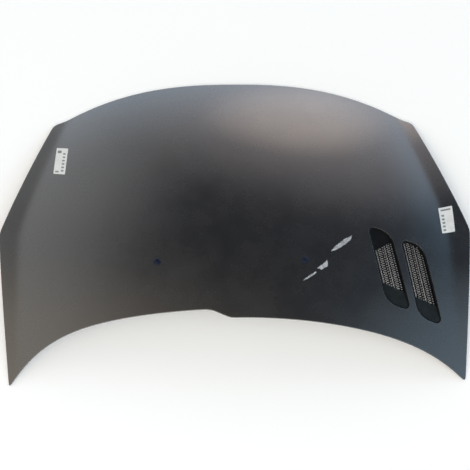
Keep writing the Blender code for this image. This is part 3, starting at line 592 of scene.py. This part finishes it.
def plastic_material(name, colour, low, high, grain, gloss):
    """Moulded plastic with a fine grain and rubbed dust, of low to high roughness."""
    n = Nodes(name)
    fine = n.noise(grain, 2.0)
    dust = n.noise(35.0, 5.0, 0.62)
    paler = tuple(c * 1.6 + 0.002 for c in colour)
    n.set(
        Base_Color=n.mix(n.remap(dust, 0.45, 0.8), colour, paler),
        Roughness=n.remap(dust, 0.3, 0.7, low, high),
        Specular_IOR_Level=gloss,
        Normal=n.bump(fine, 0.25, 0.0002),
    )
    return n.material


def knuckle_glint_material():
    """Painted highlight: the raised knuckles coloured pale in place of glints on their glossy
    tops, paler towards the windscreen as painted light.
    """
    n = Nodes("knuckle_painted_glint")
    split = n.node("ShaderNodeSeparateXYZ", {"Vector": n.coords})
    # Painted light: paler towards the windscreen, in patches, standing in for the knuckles' glints
    glint_toward_rear = n.remap(split.outputs["Y"], -0.05, -0.33, 0.15, 1.0)
    patchy_glint = n.math("MULTIPLY", glint_toward_rear, n.remap(n.noise(60.0, 3.0), 0.3, 0.7, 0.35, 1.0))
    n.set(
        Base_Color=n.mix(patchy_glint, (0.06, 0.056, 0.053), (0.58, 0.545, 0.52)),
        Roughness=n.remap(n.noise(200.0, 3.0), 0.3, 0.7, 0.25, 0.42),
        Normal=n.bump(n.noise(900.0, 2.0), 0.15, 0.0001),
    )
    return n.material


def rubber_material(name, colour, grain, depth):
    """Rubber, foam or mastic: dull, with a surface pitted to a depth."""
    n = Nodes(name)
    fine = n.noise(grain, 4.0, 0.7)
    n.set(
        Base_Color=n.mix(n.remap(fine, 0.3, 0.7), colour, tuple(c * 1.7 for c in colour)),
        Roughness=n.remap(fine, 0.3, 0.7, 0.72, 0.92),
        Specular_IOR_Level=0.35,
        Normal=n.bump(fine, 0.5, depth),
    )
    return n.material


def paper_material(name, colour):
    """Coated label paper with faint fibres, or print on it."""
    n = Nodes(name)
    fibre = n.noise(420.0, 5.0, 0.7)
    smudge = n.noise(45.0, 4.0, 0.6)
    darker = tuple(0.86 * c for c in colour)
    n.set(
        Base_Color=n.mix(n.remap(smudge, 0.4, 0.75), colour, darker),
        Roughness=n.remap(fibre, 0.3, 0.7, 0.38, 0.55),
        Normal=n.bump(fibre, 0.15, 0.0001),
    )
    return n.material


def zinc_material():
    """Zinc-plated steel with the faint bloom and yellowing of passivation."""
    n = Nodes("zinc_plate")
    bloom = n.noise(90.0, 4.0, 0.6)
    scratch = n.noise(700.0, 3.0, 0.6)
    n.set(
        Base_Color=n.mix(n.remap(bloom, 0.35, 0.7), (0.56, 0.57, 0.58), (0.44, 0.42, 0.36)),
        Metallic=0.95,
        Roughness=n.remap(bloom, 0.3, 0.7, 0.28, 0.46),
        Normal=n.bump(scratch, 0.15, 0.0001),
    )
    return n.material


PAINT = paint_material()
PALE_MARK = pale_mark_material()
UNDERCOAT = coat_material("under_coat", (0.060, 0.062, 0.068), 0.40)
FRAME_COAT = coat_material("frame_coat", (0.070, 0.072, 0.078), 0.36)
STEEL = coat_material("coated_steel", (0.110, 0.112, 0.118), 0.34)
GRILLE = plastic_material("grille_plastic", (0.0020, 0.0022, 0.0025), 0.42, 0.6, 900.0, 0.14)
RAMP = plastic_material("ramp_plastic", (0.0060, 0.0085, 0.0085), 0.34, 0.46, 500.0, 0.22)
KNUCKLE_GLINT = knuckle_glint_material()
JET = plastic_material("jet_plastic", (0.0045, 0.0085, 0.0220), 0.34, 0.50, 900.0, 0.16)
PAPER = paper_material("label_paper", (0.72, 0.72, 0.70))
INK = paper_material("label_ink", (0.20, 0.20, 0.21))
FOAM = rubber_material("foam_seal", (0.018, 0.018, 0.019), 1300.0, 0.0006)
RUBBER = rubber_material("stop_rubber", (0.014, 0.014, 0.014), 500.0, 0.0002)
MASTIC = rubber_material("mastic_bead", (0.22, 0.215, 0.20), 300.0, 0.0008)
ZINC = zinc_material()


# Skin: outer surface, rolled hem and vent lips in one closed sheet


def vent_outline(centre):
    """A vent's frame on the skin, the points of its aperture, and their outward normals."""
    local = resample(rounded_outline(VENT_CORNERS, VENT_CORNER_STEPS), VENT_PITCH)
    return tangent_frame(*centre), local, outward(local)


def skin_fill(loops, holes):
    """Points that fill the panel evenly, clear of its loops and outside its holes."""
    columns = int(2 * KINK_HALF / SKIN_PITCH)
    rows = int((NOSE_Y - TIP_Y) / SKIN_PITCH)
    u, v = np.meshgrid(np.linspace(-1, 1, columns), np.linspace(0, 1, rows))
    fill = np.column_stack(plan(u.ravel(), v.ravel()))
    fill = fill[inside(loops[0], fill)]
    fill = fill[~near(loops, fill, 0.6 * SKIN_PITCH)]
    for hole in holes:
        fill = fill[~inside(hole, fill)]
    return fill


def add_hem(shell, edge, top, under):
    """The sheet's edge, rolled round and under itself."""
    out = outward(edge)
    fold = HEM_DEPTH / 2
    arc = np.linspace(math.pi / 2, -math.pi / 2, FOLD_STEPS + 1)[1:]

    def rolled(radius, angle):
        inset = fold - radius * math.cos(angle)
        return shell.ring(skin_points(edge - out * inset, fold - radius * math.sin(angle)))

    def folded(depth):
        return shell.ring(skin_points(edge - out * HEM_WIDTH, depth))

    outer = [top] + [rolled(fold, a) for a in arc] + [folded(HEM_DEPTH)]
    inner = [outer[-1], folded(HEM_DEPTH - SKIN_WALL)]
    inner += [rolled(fold - SKIN_WALL, a) for a in arc[::-1]] + [under]
    shell.join(outer[::-1], 0)
    shell.join(inner[::-1], 1)


def add_lip(shell, vent, top, under):
    """The sheet, turned down round a vent."""
    placed, local, grow = vent
    rings = [top]
    for a in np.linspace(math.pi / 2, 0, LIP_STEPS + 1)[1:]:
        there, _ = drop_on_skin(placed, local + grow * LIP_ROUND * (1 - math.cos(a)))
        rings.append(shell.ring(skin_points(there, LIP_ROUND * (1 - math.sin(a)))))
    front, _ = drop_on_skin(placed, local)
    back, _ = drop_on_skin(placed, local + grow * SKIN_WALL)
    for there, depth in ((front, LIP_DEPTH), (back, LIP_DEPTH), (back, LIP_ROUND)):
        rings.append(shell.ring(skin_points(there, depth)))
    shell.join(rings + [under], 0)


def shade_truly(mesh, xy, top_faces):
    """Give the first faces the surface's own normals, so that no facet shows in the gloss."""
    normals = np.zeros(len(mesh.loops) * 3, np.float32)
    mesh.corner_normals.foreach_get("vector", normals)
    normals = normals.reshape(-1, 3)
    at = np.zeros(len(mesh.loops), np.int32)
    mesh.loops.foreach_get("vertex_index", at)
    sizes = [p.loop_total for p in mesh.polygons]
    face_of = np.repeat(np.arange(len(sizes)), sizes)
    on_top = (at < len(xy)) & (face_of < top_faces)
    normals[on_top] = skin_normals(xy)[at[on_top]]
    mesh.normals_split_custom_set([tuple(n) for n in normals])


def make_skin():
    edge = panel_outline()
    vents = [vent_outline(centre) for centre in (VENT_INNER, VENT_OUTER)]
    holes = [drop_on_skin(placed, local + grow * LIP_ROUND)[0] for placed, local, grow in vents]
    jet_hole = unit_circle(JET_HOLE_SIDES) * JET_HOLE_RADIUS
    holes += [jet_hole + np.array(centre) for centre in JETS.values()]
    pale_marks = [resample(ragged(mark_outline), PALE_MARK_PITCH) for mark_outline in PALE_MARKS]
    loops = [edge - outward(edge) * (HEM_DEPTH / 2)] + holes + pale_marks
    xy, triangles = triangulate(loops, skin_fill(loops, holes))
    panel = within(loops[:1], xy, triangles) & ~within(holes, xy, triangles)
    triangles = triangles[panel]

    shell = Shell()
    top = shell.ring(skin_points(xy, 0.0))
    under = shell.ring(skin_points(xy, SKIN_WALL))
    # Pick 2: the pale grey marks on the paint
    shell.fill(triangles, np.where(within(pale_marks, xy, triangles), 2, 0))
    shell.fill(triangles[:, ::-1] + len(xy), 1)
    start = len(edge)
    add_hem(shell, edge, top[:start], under[:start])
    for vent, hole in zip(vents, holes):
        end = start + len(hole)
        add_lip(shell, vent, top[start:end], under[start:end])
        start = end
    for hole in holes[len(vents) :]:
        end = start + len(hole)
        shell.join([top[start:end], under[start:end]], 1)
        start = end

    skin = add("bonnet_skin", shell, [PAINT, UNDERCOAT, PALE_MARK], 50)
    shade_truly(skin.data, xy, len(triangles))
    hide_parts("outer_skin")


# Vent grilles: collar, net, knuckles and ramp


def leaned(points):
    """Net points turned from their own axes to the vent's."""
    turn = np.array(Matrix.Rotation(NET_LEAN, 2))
    return np.array(points) @ turn.T


def net_rows(odd):
    """Row numbers along a strand, even or odd."""
    return (2 * n + odd for n in range(-NET_ROWS, NET_ROWS + 1))


def net_knuckles():
    """Joints of every other strand, on its right bends and its left bends by turns."""
    found = []
    for i in range(-NET_COLUMNS, NET_COLUMNS + 1, 2):
        side = 1 if i % 4 == 0 else -1
        for j in net_rows(side < 0):
            found.append((i * NET_ACROSS + side * NET_ZIGZAG / 2, j * NET_ALONG))
    return leaned(found)


def net_holes():
    """The honeycomb's holes, each an eased hexagon between six joints."""
    far, close = (NET_ACROSS + NET_ZIGZAG) / 2, (NET_ACROSS - NET_ZIGZAG) / 2
    corners = [(far, 0), (close, NET_ALONG), (-close, NET_ALONG)]
    corners = np.array(corners + [(-x, -y) for x, y in corners])
    corners -= outward(corners) * STRAND_WIDTH / 2
    eased = rounded_outline([(x, y, HOLE_CORNER) for x, y in corners], 2)
    found = []
    for i in range(-NET_COLUMNS, NET_COLUMNS):
        for j in net_rows((i + 1) % 2):
            found.append(leaned(eased + ((i + 0.5) * NET_ACROSS, j * NET_ALONG)))
    return found


def ramp_side(xy):
    """How far points lie behind the ramp's front line; below zero, they are in the net."""
    return RAMP_START + RAMP_SLANT * xy[:, 0] - xy[:, 1]


def shade_blank_side(xy):
    """How far points lie beyond the line of the closed front, which is painted shade; below zero,
    they are in the net.
    """
    return xy[:, 1] - SHADE_BLANK_START - SHADE_BLANK_SLANT * xy[:, 0]


def cut_off(loop, side):
    """The part of a convex loop where side is below zero; side holds a value per point."""
    kept = []
    for k in range(len(loop)):
        a, b = side[k - 1], side[k]
        if (a > 0) != (b > 0):
            kept.append(loop[k - 1] + (loop[k] - loop[k - 1]) * a / (a - b))
        if b <= 0:
            kept.append(loop[k])
    return np.array(kept)


def clipped(loop, border, shade_blank):
    """A hole cut off at the collar, the ramp and the closed front that is painted shade; None if
    little is left.
    """
    for k in range(len(border)):
        edge = border[k] - border[k - 1]
        side = (loop - border[k]) @ np.array([edge[1], -edge[0]])
        if (side > 0).any():
            loop = cut_off(loop, side)
            if len(loop) < 3:
                return None
    loop = cut_off(loop, ramp_side(loop) + HOLE_MARGIN)
    # Painted shade: no holes in the closed front
    if shade_blank and len(loop) > 2:
        loop = cut_off(loop, shade_blank_side(loop) + HOLE_MARGIN)
    if len(loop) < 3:
        return None
    gaps = np.linalg.norm(loop - np.roll(loop, 1, axis=0), axis=1)
    loop = loop[gaps > LEAST_HOLE_SIDE]
    if len(loop) < 4:
        return None
    x, y = loop.T
    area = abs(np.dot(x, np.roll(y, 1)) - np.dot(y, np.roll(x, 1))) / 2
    return loop if area > LEAST_HOLE_AREA else None


def add_collar(shell, local, grow, rim):
    """The collar round the opening, its rounded rim and the flange under the skin."""
    outer = -COLLAR_PLAY
    inner = outer - COLLAR_WALL
    profile = [(outer, -FLANGE_TOP), (outer, -GAP - RIM_ROUND)]
    for centre, start in ((outer - RIM_ROUND, 0.0), (inner + RIM_ROUND, math.pi / 2)):
        for step in range(1, RIM_STEPS + 1):
            angle = start + step * math.pi / 2 / RIM_STEPS
            height = -GAP - RIM_ROUND + RIM_ROUND * math.sin(angle)
            profile.append((centre + RIM_ROUND * math.cos(angle), height))
    profile += [
        (inner, -COLLAR_DEPTH),
        (outer, -COLLAR_DEPTH),
        (outer, -FLANGE_LOW),
        (FLANGE_REACH, -FLANGE_LOW),
        (FLANGE_REACH, -FLANGE_TOP),
    ]
    rings = [shell.ring(lifted(local + grow * d, rim + h)) for d, h in profile]
    shell.join(rings + rings[:1])


def add_net(shell, outline, holes):
    """The pierced plate: every strand has rounded edges, so that it catches light."""
    loops = [outline] + [hole + outward(hole) * STRAND_ROUND for hole in holes]
    xy, triangles = triangulate(loops, [])
    plate = within(loops[:1], xy, triangles) & ~within(loops[1:], xy, triangles)
    triangles = triangles[plate]
    top = shell.ring(lifted(xy, -NET_DEPTH))
    low = shell.ring(lifted(xy, -NET_DEPTH - NET_WALL))
    shell.fill(triangles + top[0])
    shell.fill(triangles[:, ::-1] + low[0])
    start = len(outline)
    shell.join([low[:start], top[:start]])
    for hole in holes:
        end = start + len(hole)
        grow = outward(hole)
        rings = [top[start:end]]
        for share, depth in STRAND_PROFILE:
            eased = hole + grow * share * STRAND_ROUND
            rings.append(shell.ring(lifted(eased, -NET_DEPTH - depth * NET_WALL)))
        shell.join(rings + [low[start:end]])
        start = end


def add_knuckles(shell, places):
    """A low rounded knuckle where strands meet."""
    oval = leaned(unit_circle(KNUCKLE_SIDES) * (KNUCKLE_HALF_WIDTH, KNUCKLE_HALF_LENGTH))
    foot = -NET_DEPTH - KNUCKLE_SUNK
    for place in places:
        rings = [shell.ring(lifted(place + oval, foot))]
        for share in KNUCKLE_RISE:
            angle = share * math.pi / 2
            height = foot + KNUCKLE_HEIGHT * math.sin(angle)
            rings.append(shell.ring(lifted(place + oval * math.cos(angle), height)))
        # Pick 2: the knuckles' pale colour, a painted highlight
        shell.close(rings, 2)


def add_ramp(shell, outline, rim_at):
    """The closed ramp behind the net, which rises in a soft hollow to the rim."""
    loop = resample(cut_off(outline, -ramp_side(outline)), RAMP_PITCH)
    grid = np.arange(-0.15, 0.15, RAMP_PITCH)
    fill = np.array([(x, y) for x in grid for y in grid])
    fill = fill[inside(loop, fill)]
    fill = fill[~near([loop], fill, RAMP_CLEAR)]
    xy, triangles = triangulate([loop], fill)
    share = np.clip(ramp_side(xy), 0, None)
    furthest = xy[np.argmax(share)]
    rise = rim_at(furthest[None])[0] - RAMP_TOP_DROP + NET_DEPTH
    climb = (share / share.max()) ** RAMP_POWER
    z = -NET_DEPTH + RAMP_STAND + (rise - RAMP_STAND) * climb
    top = shell.ring(lifted(xy, z))
    low = shell.ring(lifted(xy, -NET_DEPTH - NET_WALL))
    shell.fill(triangles + top[0], 1)
    shell.fill(triangles[:, ::-1] + low[0], 1)
    shell.join([low[: len(loop)], top[: len(loop)]], 1)


def make_grille(name, centre, shade_blank):
    """A vent's insert: collar, net, knuckles and ramp, with its front end closed as painted shade,
    without holes or knuckles, if shade_blank.
    """
    placed, local, grow = vent_outline(centre)

    def in_collar(share, more=0.0):
        return local - grow * (COLLAR_PLAY + share * COLLAR_WALL + more)

    def rim_at(xy):
        return drop_on_skin(placed, xy)[1]

    shell = Shell()
    add_collar(shell, local, grow, rim_at(local))
    border = resample(in_collar(HOLES_SHARE), BORDER_PITCH)
    holes = [clipped(hole, border, shade_blank) for hole in net_holes()]
    holes = [hole for hole in holes if hole is not None]
    add_net(shell, resample(in_collar(PLATE_SHARE), VENT_PITCH), holes)
    joints = net_knuckles()
    joints = joints[inside(in_collar(1.0, KNUCKLE_TO_COLLAR), joints)]
    joints = joints[ramp_side(joints) < -KNUCKLE_TO_RAMP]
    # Painted shade: no knuckles on the closed front
    if shade_blank:
        joints = joints[shade_blank_side(joints) < -KNUCKLE_TO_RAMP]
    add_knuckles(shell, joints)
    add_ramp(shell, in_collar(RAMP_SHARE), rim_at)
    # The third material is the knuckles' painted highlight
    grille = add(f"net_grille_{name}", shell, [GRILLE, RAMP, KNUCKLE_GLINT], 40, placed)
    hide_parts(f"vent_grille_{name}")


# Washer jets


def make_jet(side):
    """A domed head with an eyeball nozzle, on its clipped stem."""
    r, h, stem = JET_HEAD_RADIUS, JET_HEAD_HEIGHT, JET_STEM_RADIUS
    under = -(SKIN_WALL + 3 * GAP)
    profile = [(across * r, up * h) for across, up in JET_DOME]
    profile += [
        (r, 0.12 * h + GAP),
        (r, GAP),
        (stem, GAP),
        (stem, under),
        (1.35 * stem, under),
        (stem, under - 0.65 * stem),
        (0.65 * stem, under - stem),
        (0.65 * stem, -0.94 * JET_STEM_LENGTH),
        (0.48 * stem, -JET_STEM_LENGTH),
    ]
    circle = unit_circle(JET_SIDES)
    shell = Shell()
    rings = [shell.ring(lifted(circle * radius, z)) for radius, z in profile]
    shell.close(rings[::-1])
    ball = 0.26 * r
    ball_at = Vector((0, -0.42 * r, 0.80 * h))
    ball_turn = Vector(NOZZLE_AIM).normalized().to_track_quat("Z", "Y").to_matrix()
    rings = []
    for radius, z in NOZZLE:
        ring = lifted(circle * radius * ball, z * ball)
        rings.append(shell.ring([ball_at + ball_turn @ Vector(p) for p in ring]))
    shell.close(rings)
    jet = add(f"spray_jet_{side}", shell, [JET], 35, tangent_frame(*JETS[side]))
    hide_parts(f"washer_jet_{side}")


# Paper labels


def on_label(corners, share):
    """Plan points at shares (a, b) across and up a four-cornered label."""
    c = np.array(corners)
    a, b = share[:, :1], share[:, 1:]
    return (1 - a) * (1 - b) * c[3] + a * (1 - b) * c[0] + a * b * c[1] + (1 - a) * b * c[2]


def make_label(name, corners, bars):
    """A stuck-down paper label with plain grey bars in place of print."""
    border = rounded_outline([(x, y, LABEL_ROUND) for x, y in ((1, 0), (1, 1), (0, 1), (0, 0))], 3)
    boxes = [((x0, y0), (x1, y0), (x1, y1), (x0, y1)) for x0, y0, x1, y1 in bars]
    loops = [resample(loop, LABEL_PITCH) for loop in (border, *boxes)]
    grid = np.linspace(0.05, 0.95, LABEL_GRID)
    fill = np.array([(a, b) for a in grid for b in grid])
    fill = fill[~near(loops, fill, LABEL_PITCH / 2)]
    share, triangles = triangulate(loops, fill)
    inked = within(loops[1:], share, triangles)
    xy = on_label(corners, share)
    shell = Shell()
    top = shell.ring(skin_points(xy, -LABEL_LIFT - LABEL_WALL))
    low = shell.ring(skin_points(xy, -LABEL_LIFT))
    shell.fill(triangles[~inked] + top[0], 0)
    shell.fill(triangles[inked] + top[0], 1)
    shell.fill(triangles[:, ::-1] + low[0], 0)
    edge = len(loops[0])
    shell.join([low[:edge], top[:edge]])
    add(name, shell, [PAPER, INK], 40)


# Better materials for the CAD nodes that stay, by how their names start
CARRIED = {
    "inner_frame": FRAME_COAT,
    "hinge_pad": STEEL,
    "latch_reinforcement": STEEL,
    "hinge_nut": ZINC,
    "striker": ZINC,
    "bump_stop": RUBBER,
    "vent_seal": FOAM,
    "mastic_dab": MASTIC,
}


def dress_carried():
    for name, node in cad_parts.items():
        for start, material in CARRIED.items():
            if name.startswith(start):
                node.data.materials.clear()
                node.data.materials.append(material)


# Floor, lights and camera


# The floor's reach and height, and how much whiter it is seen than it is lit
FLOOR_HALF, FLOOR_Z = 12.0, -0.0004
FLOOR_LIFT = 0.11


def make_floor():
    """A plain pale floor that lightens only what looks at it, so that its shadow stays."""
    n = Nodes("studio_floor")
    grain = n.noise(60.0, 4.0)
    path = n.node("ShaderNodeLightPath").outputs
    seen = n.math("MAXIMUM", path["Is Camera Ray"], path["Is Glossy Ray"])
    seen = n.math("MAXIMUM", seen, path["Is Transmission Ray"])
    n.set(
        Base_Color=n.mix(grain, (0.91, 0.91, 0.91), (0.93, 0.93, 0.93)),
        Roughness=0.8,
        Emission_Color=(1.0, 1.0, 1.0),
        Emission_Strength=n.math("MULTIPLY", seen, FLOOR_LIFT),
    )
    corners = [(-1, -1), (1, -1), (1, 1), (-1, 1)]
    verts = [(x * FLOOR_HALF, y * FLOOR_HALF, FLOOR_Z) for x, y in corners]
    mesh = bpy.data.meshes.new("studio_floor")
    mesh.from_pydata(verts, [], [(0, 1, 2, 3)])
    floor = bpy.data.objects.new("studio_floor", mesh)
    mesh.materials.append(n.material)
    bpy.context.scene.collection.objects.link(floor)


# Soft patches of the studio's light: direction, cosine where it starts, and colour
LOBES = (
    ((0.20, 0.86, 0.45), 0.960, (1.20, 0.98, 0.84)),
    ((0.30, 0.86, 0.41), 0.803, (0.62, 0.58, 0.58)),
    ((-0.33, -0.70, 0.64), 0.387, (1.30, 1.14, 0.90)),
    ((0.86, 0.47, 0.19), 0.792, (0.55, 0.92, 1.28)),
    ((0.59, -0.42, 0.69), 0.758, (0.55, 0.74, 0.88)),
    ((-0.73, 0.58, 0.36), 0.655, (0.80, 0.80, 0.78)),
)
# Above the horizon's white the air is bluish, and fades towards the zenith
HORIZON_TOP, AIR_TOP, AIR_FULL = 0.2, 0.628, 0.1
HORIZON = (1.0, 1.0, 1.0)
AIR = (0.82, 1.03, 1.26)
ZENITH = (0.070, 0.076, 0.090)


def make_world():
    """A studio that is white at the horizon and dims overhead, with soft bright patches."""
    world = bpy.data.worlds.new("studio")
    bpy.context.scene.world = world
    world.use_nodes = True
    tree = world.node_tree
    tree.nodes.clear()
    coords = tree.nodes.new("ShaderNodeTexCoord").outputs["Generated"]

    def vector_math(operation, first, second):
        node = tree.nodes.new("ShaderNodeVectorMath")
        node.operation = operation
        tree.links.new(first, node.inputs[0])
        if operation == "SCALE":
            tree.links.new(second, node.inputs["Scale"])
        elif isinstance(second, tuple):
            node.inputs[1].default_value = second
        else:
            tree.links.new(second, node.inputs[1])
        return node

    def patch(value, start, end, colour):
        """The colour, times a smooth rise from start to end of the value."""
        reach = tree.nodes.new("ShaderNodeMapRange")
        reach.interpolation_type = "SMOOTHSTEP"
        tree.links.new(value, reach.inputs["Value"])
        reach.inputs["From Min"].default_value = start
        reach.inputs["From Max"].default_value = end
        plain = tree.nodes.new("ShaderNodeRGB")
        plain.outputs[0].default_value = (*colour, 1)
        return vector_math("SCALE", plain.outputs[0], reach.outputs["Result"]).outputs[0]

    up = vector_math("DOT_PRODUCT", coords, (0.0, 0.0, 1.0)).outputs["Value"]
    total = patch(up, AIR_TOP, AIR_FULL, tuple(a - z for a, z in zip(AIR, ZENITH)))
    total = vector_math("ADD", total, ZENITH).outputs[0]
    white = patch(up, HORIZON_TOP, 0.0, tuple(h - a for h, a in zip(HORIZON, AIR)))
    total = vector_math("ADD", total, white).outputs[0]
    for direction, start, colour in LOBES:
        toward = tuple(Vector(direction).normalized())
        facing = vector_math("DOT_PRODUCT", coords, toward).outputs["Value"]
        total = vector_math("ADD", total, patch(facing, start, 1.0, colour)).outputs[0]
    studio = tree.nodes.new("ShaderNodeBackground")
    tree.links.new(total, studio.inputs[0])
    out = tree.nodes.new("ShaderNodeOutputWorld")
    tree.links.new(studio.outputs[0], out.inputs[0])


# One soft lamp, left of the middle, above and beyond the rear edge, aimed at the middle
KEY_PLACE, KEY_SIZE, KEY_POWER = (-1.0, -2.9, 2.5), (1.8, 1.4), 22


def make_key():
    data = bpy.data.lights.new("key", "AREA")
    data.shape = "RECTANGLE"
    data.size, data.size_y = KEY_SIZE
    data.energy = KEY_POWER
    lamp = bpy.data.objects.new("key", data)
    lamp.location = KEY_PLACE
    lamp.rotation_euler = (-Vector(KEY_PLACE)).to_track_quat("-Z", "Y").to_euler()
    bpy.context.scene.collection.objects.link(lamp)


# The camera's fit: angles in degrees, the point it aims at, and lengths in metres and pixels
TILT, YAW, ROLL = 68.89082, -1.37435, -0.51229
AIM, DISTANCE = (-0.00541, -0.0715, -0.05), 2.4
FOCAL_PX, PHOTO_PX = 821.9, 470
SENSOR_MM = 36.0


def make_camera():
    """The photograph's viewpoint, from the fit of the panel's outline."""
    tilt, yaw, roll = (math.radians(a) for a in (TILT, YAW, ROLL))
    right = Vector((1, 0, 0))
    up = Vector((0, math.sin(tilt), math.cos(tilt)))
    back = Vector((0, -math.cos(tilt), math.sin(tilt)))
    right_yaw = math.cos(yaw) * right - math.sin(yaw) * back
    back_yaw = math.sin(yaw) * right + math.cos(yaw) * back
    right_roll = math.cos(roll) * right_yaw + math.sin(roll) * up
    up_roll = -math.sin(roll) * right_yaw + math.cos(roll) * up
    data = bpy.data.cameras.new("camera")
    data.sensor_width = SENSOR_MM
    data.sensor_fit = "HORIZONTAL"
    data.lens = FOCAL_PX / PHOTO_PX * SENSOR_MM
    data.clip_end = 100
    camera = bpy.data.objects.new("camera", data)
    placed = Matrix((right_roll, up_roll, back_yaw)).transposed().to_4x4()
    placed.translation = back_yaw * DISTANCE + Vector(AIM) + ORIGIN
    camera.matrix_world = placed
    bpy.context.scene.collection.objects.link(camera)
    bpy.context.scene.camera = camera


make_skin()
# The inner vent's front is closed to a dark sheet, a painted shade
make_grille("inner", VENT_INNER, True)
make_grille("outer", VENT_OUTER, False)
for side in JETS:
    make_jet(side)
make_label("paper_label_left", LABEL_LEFT, BARS_LEFT)
make_label("paper_label_right", LABEL_RIGHT, BARS_RIGHT)
dress_carried()
make_floor()
make_world()
make_key()
make_camera()

bpy.context.scene.view_settings.view_transform = "Standard"
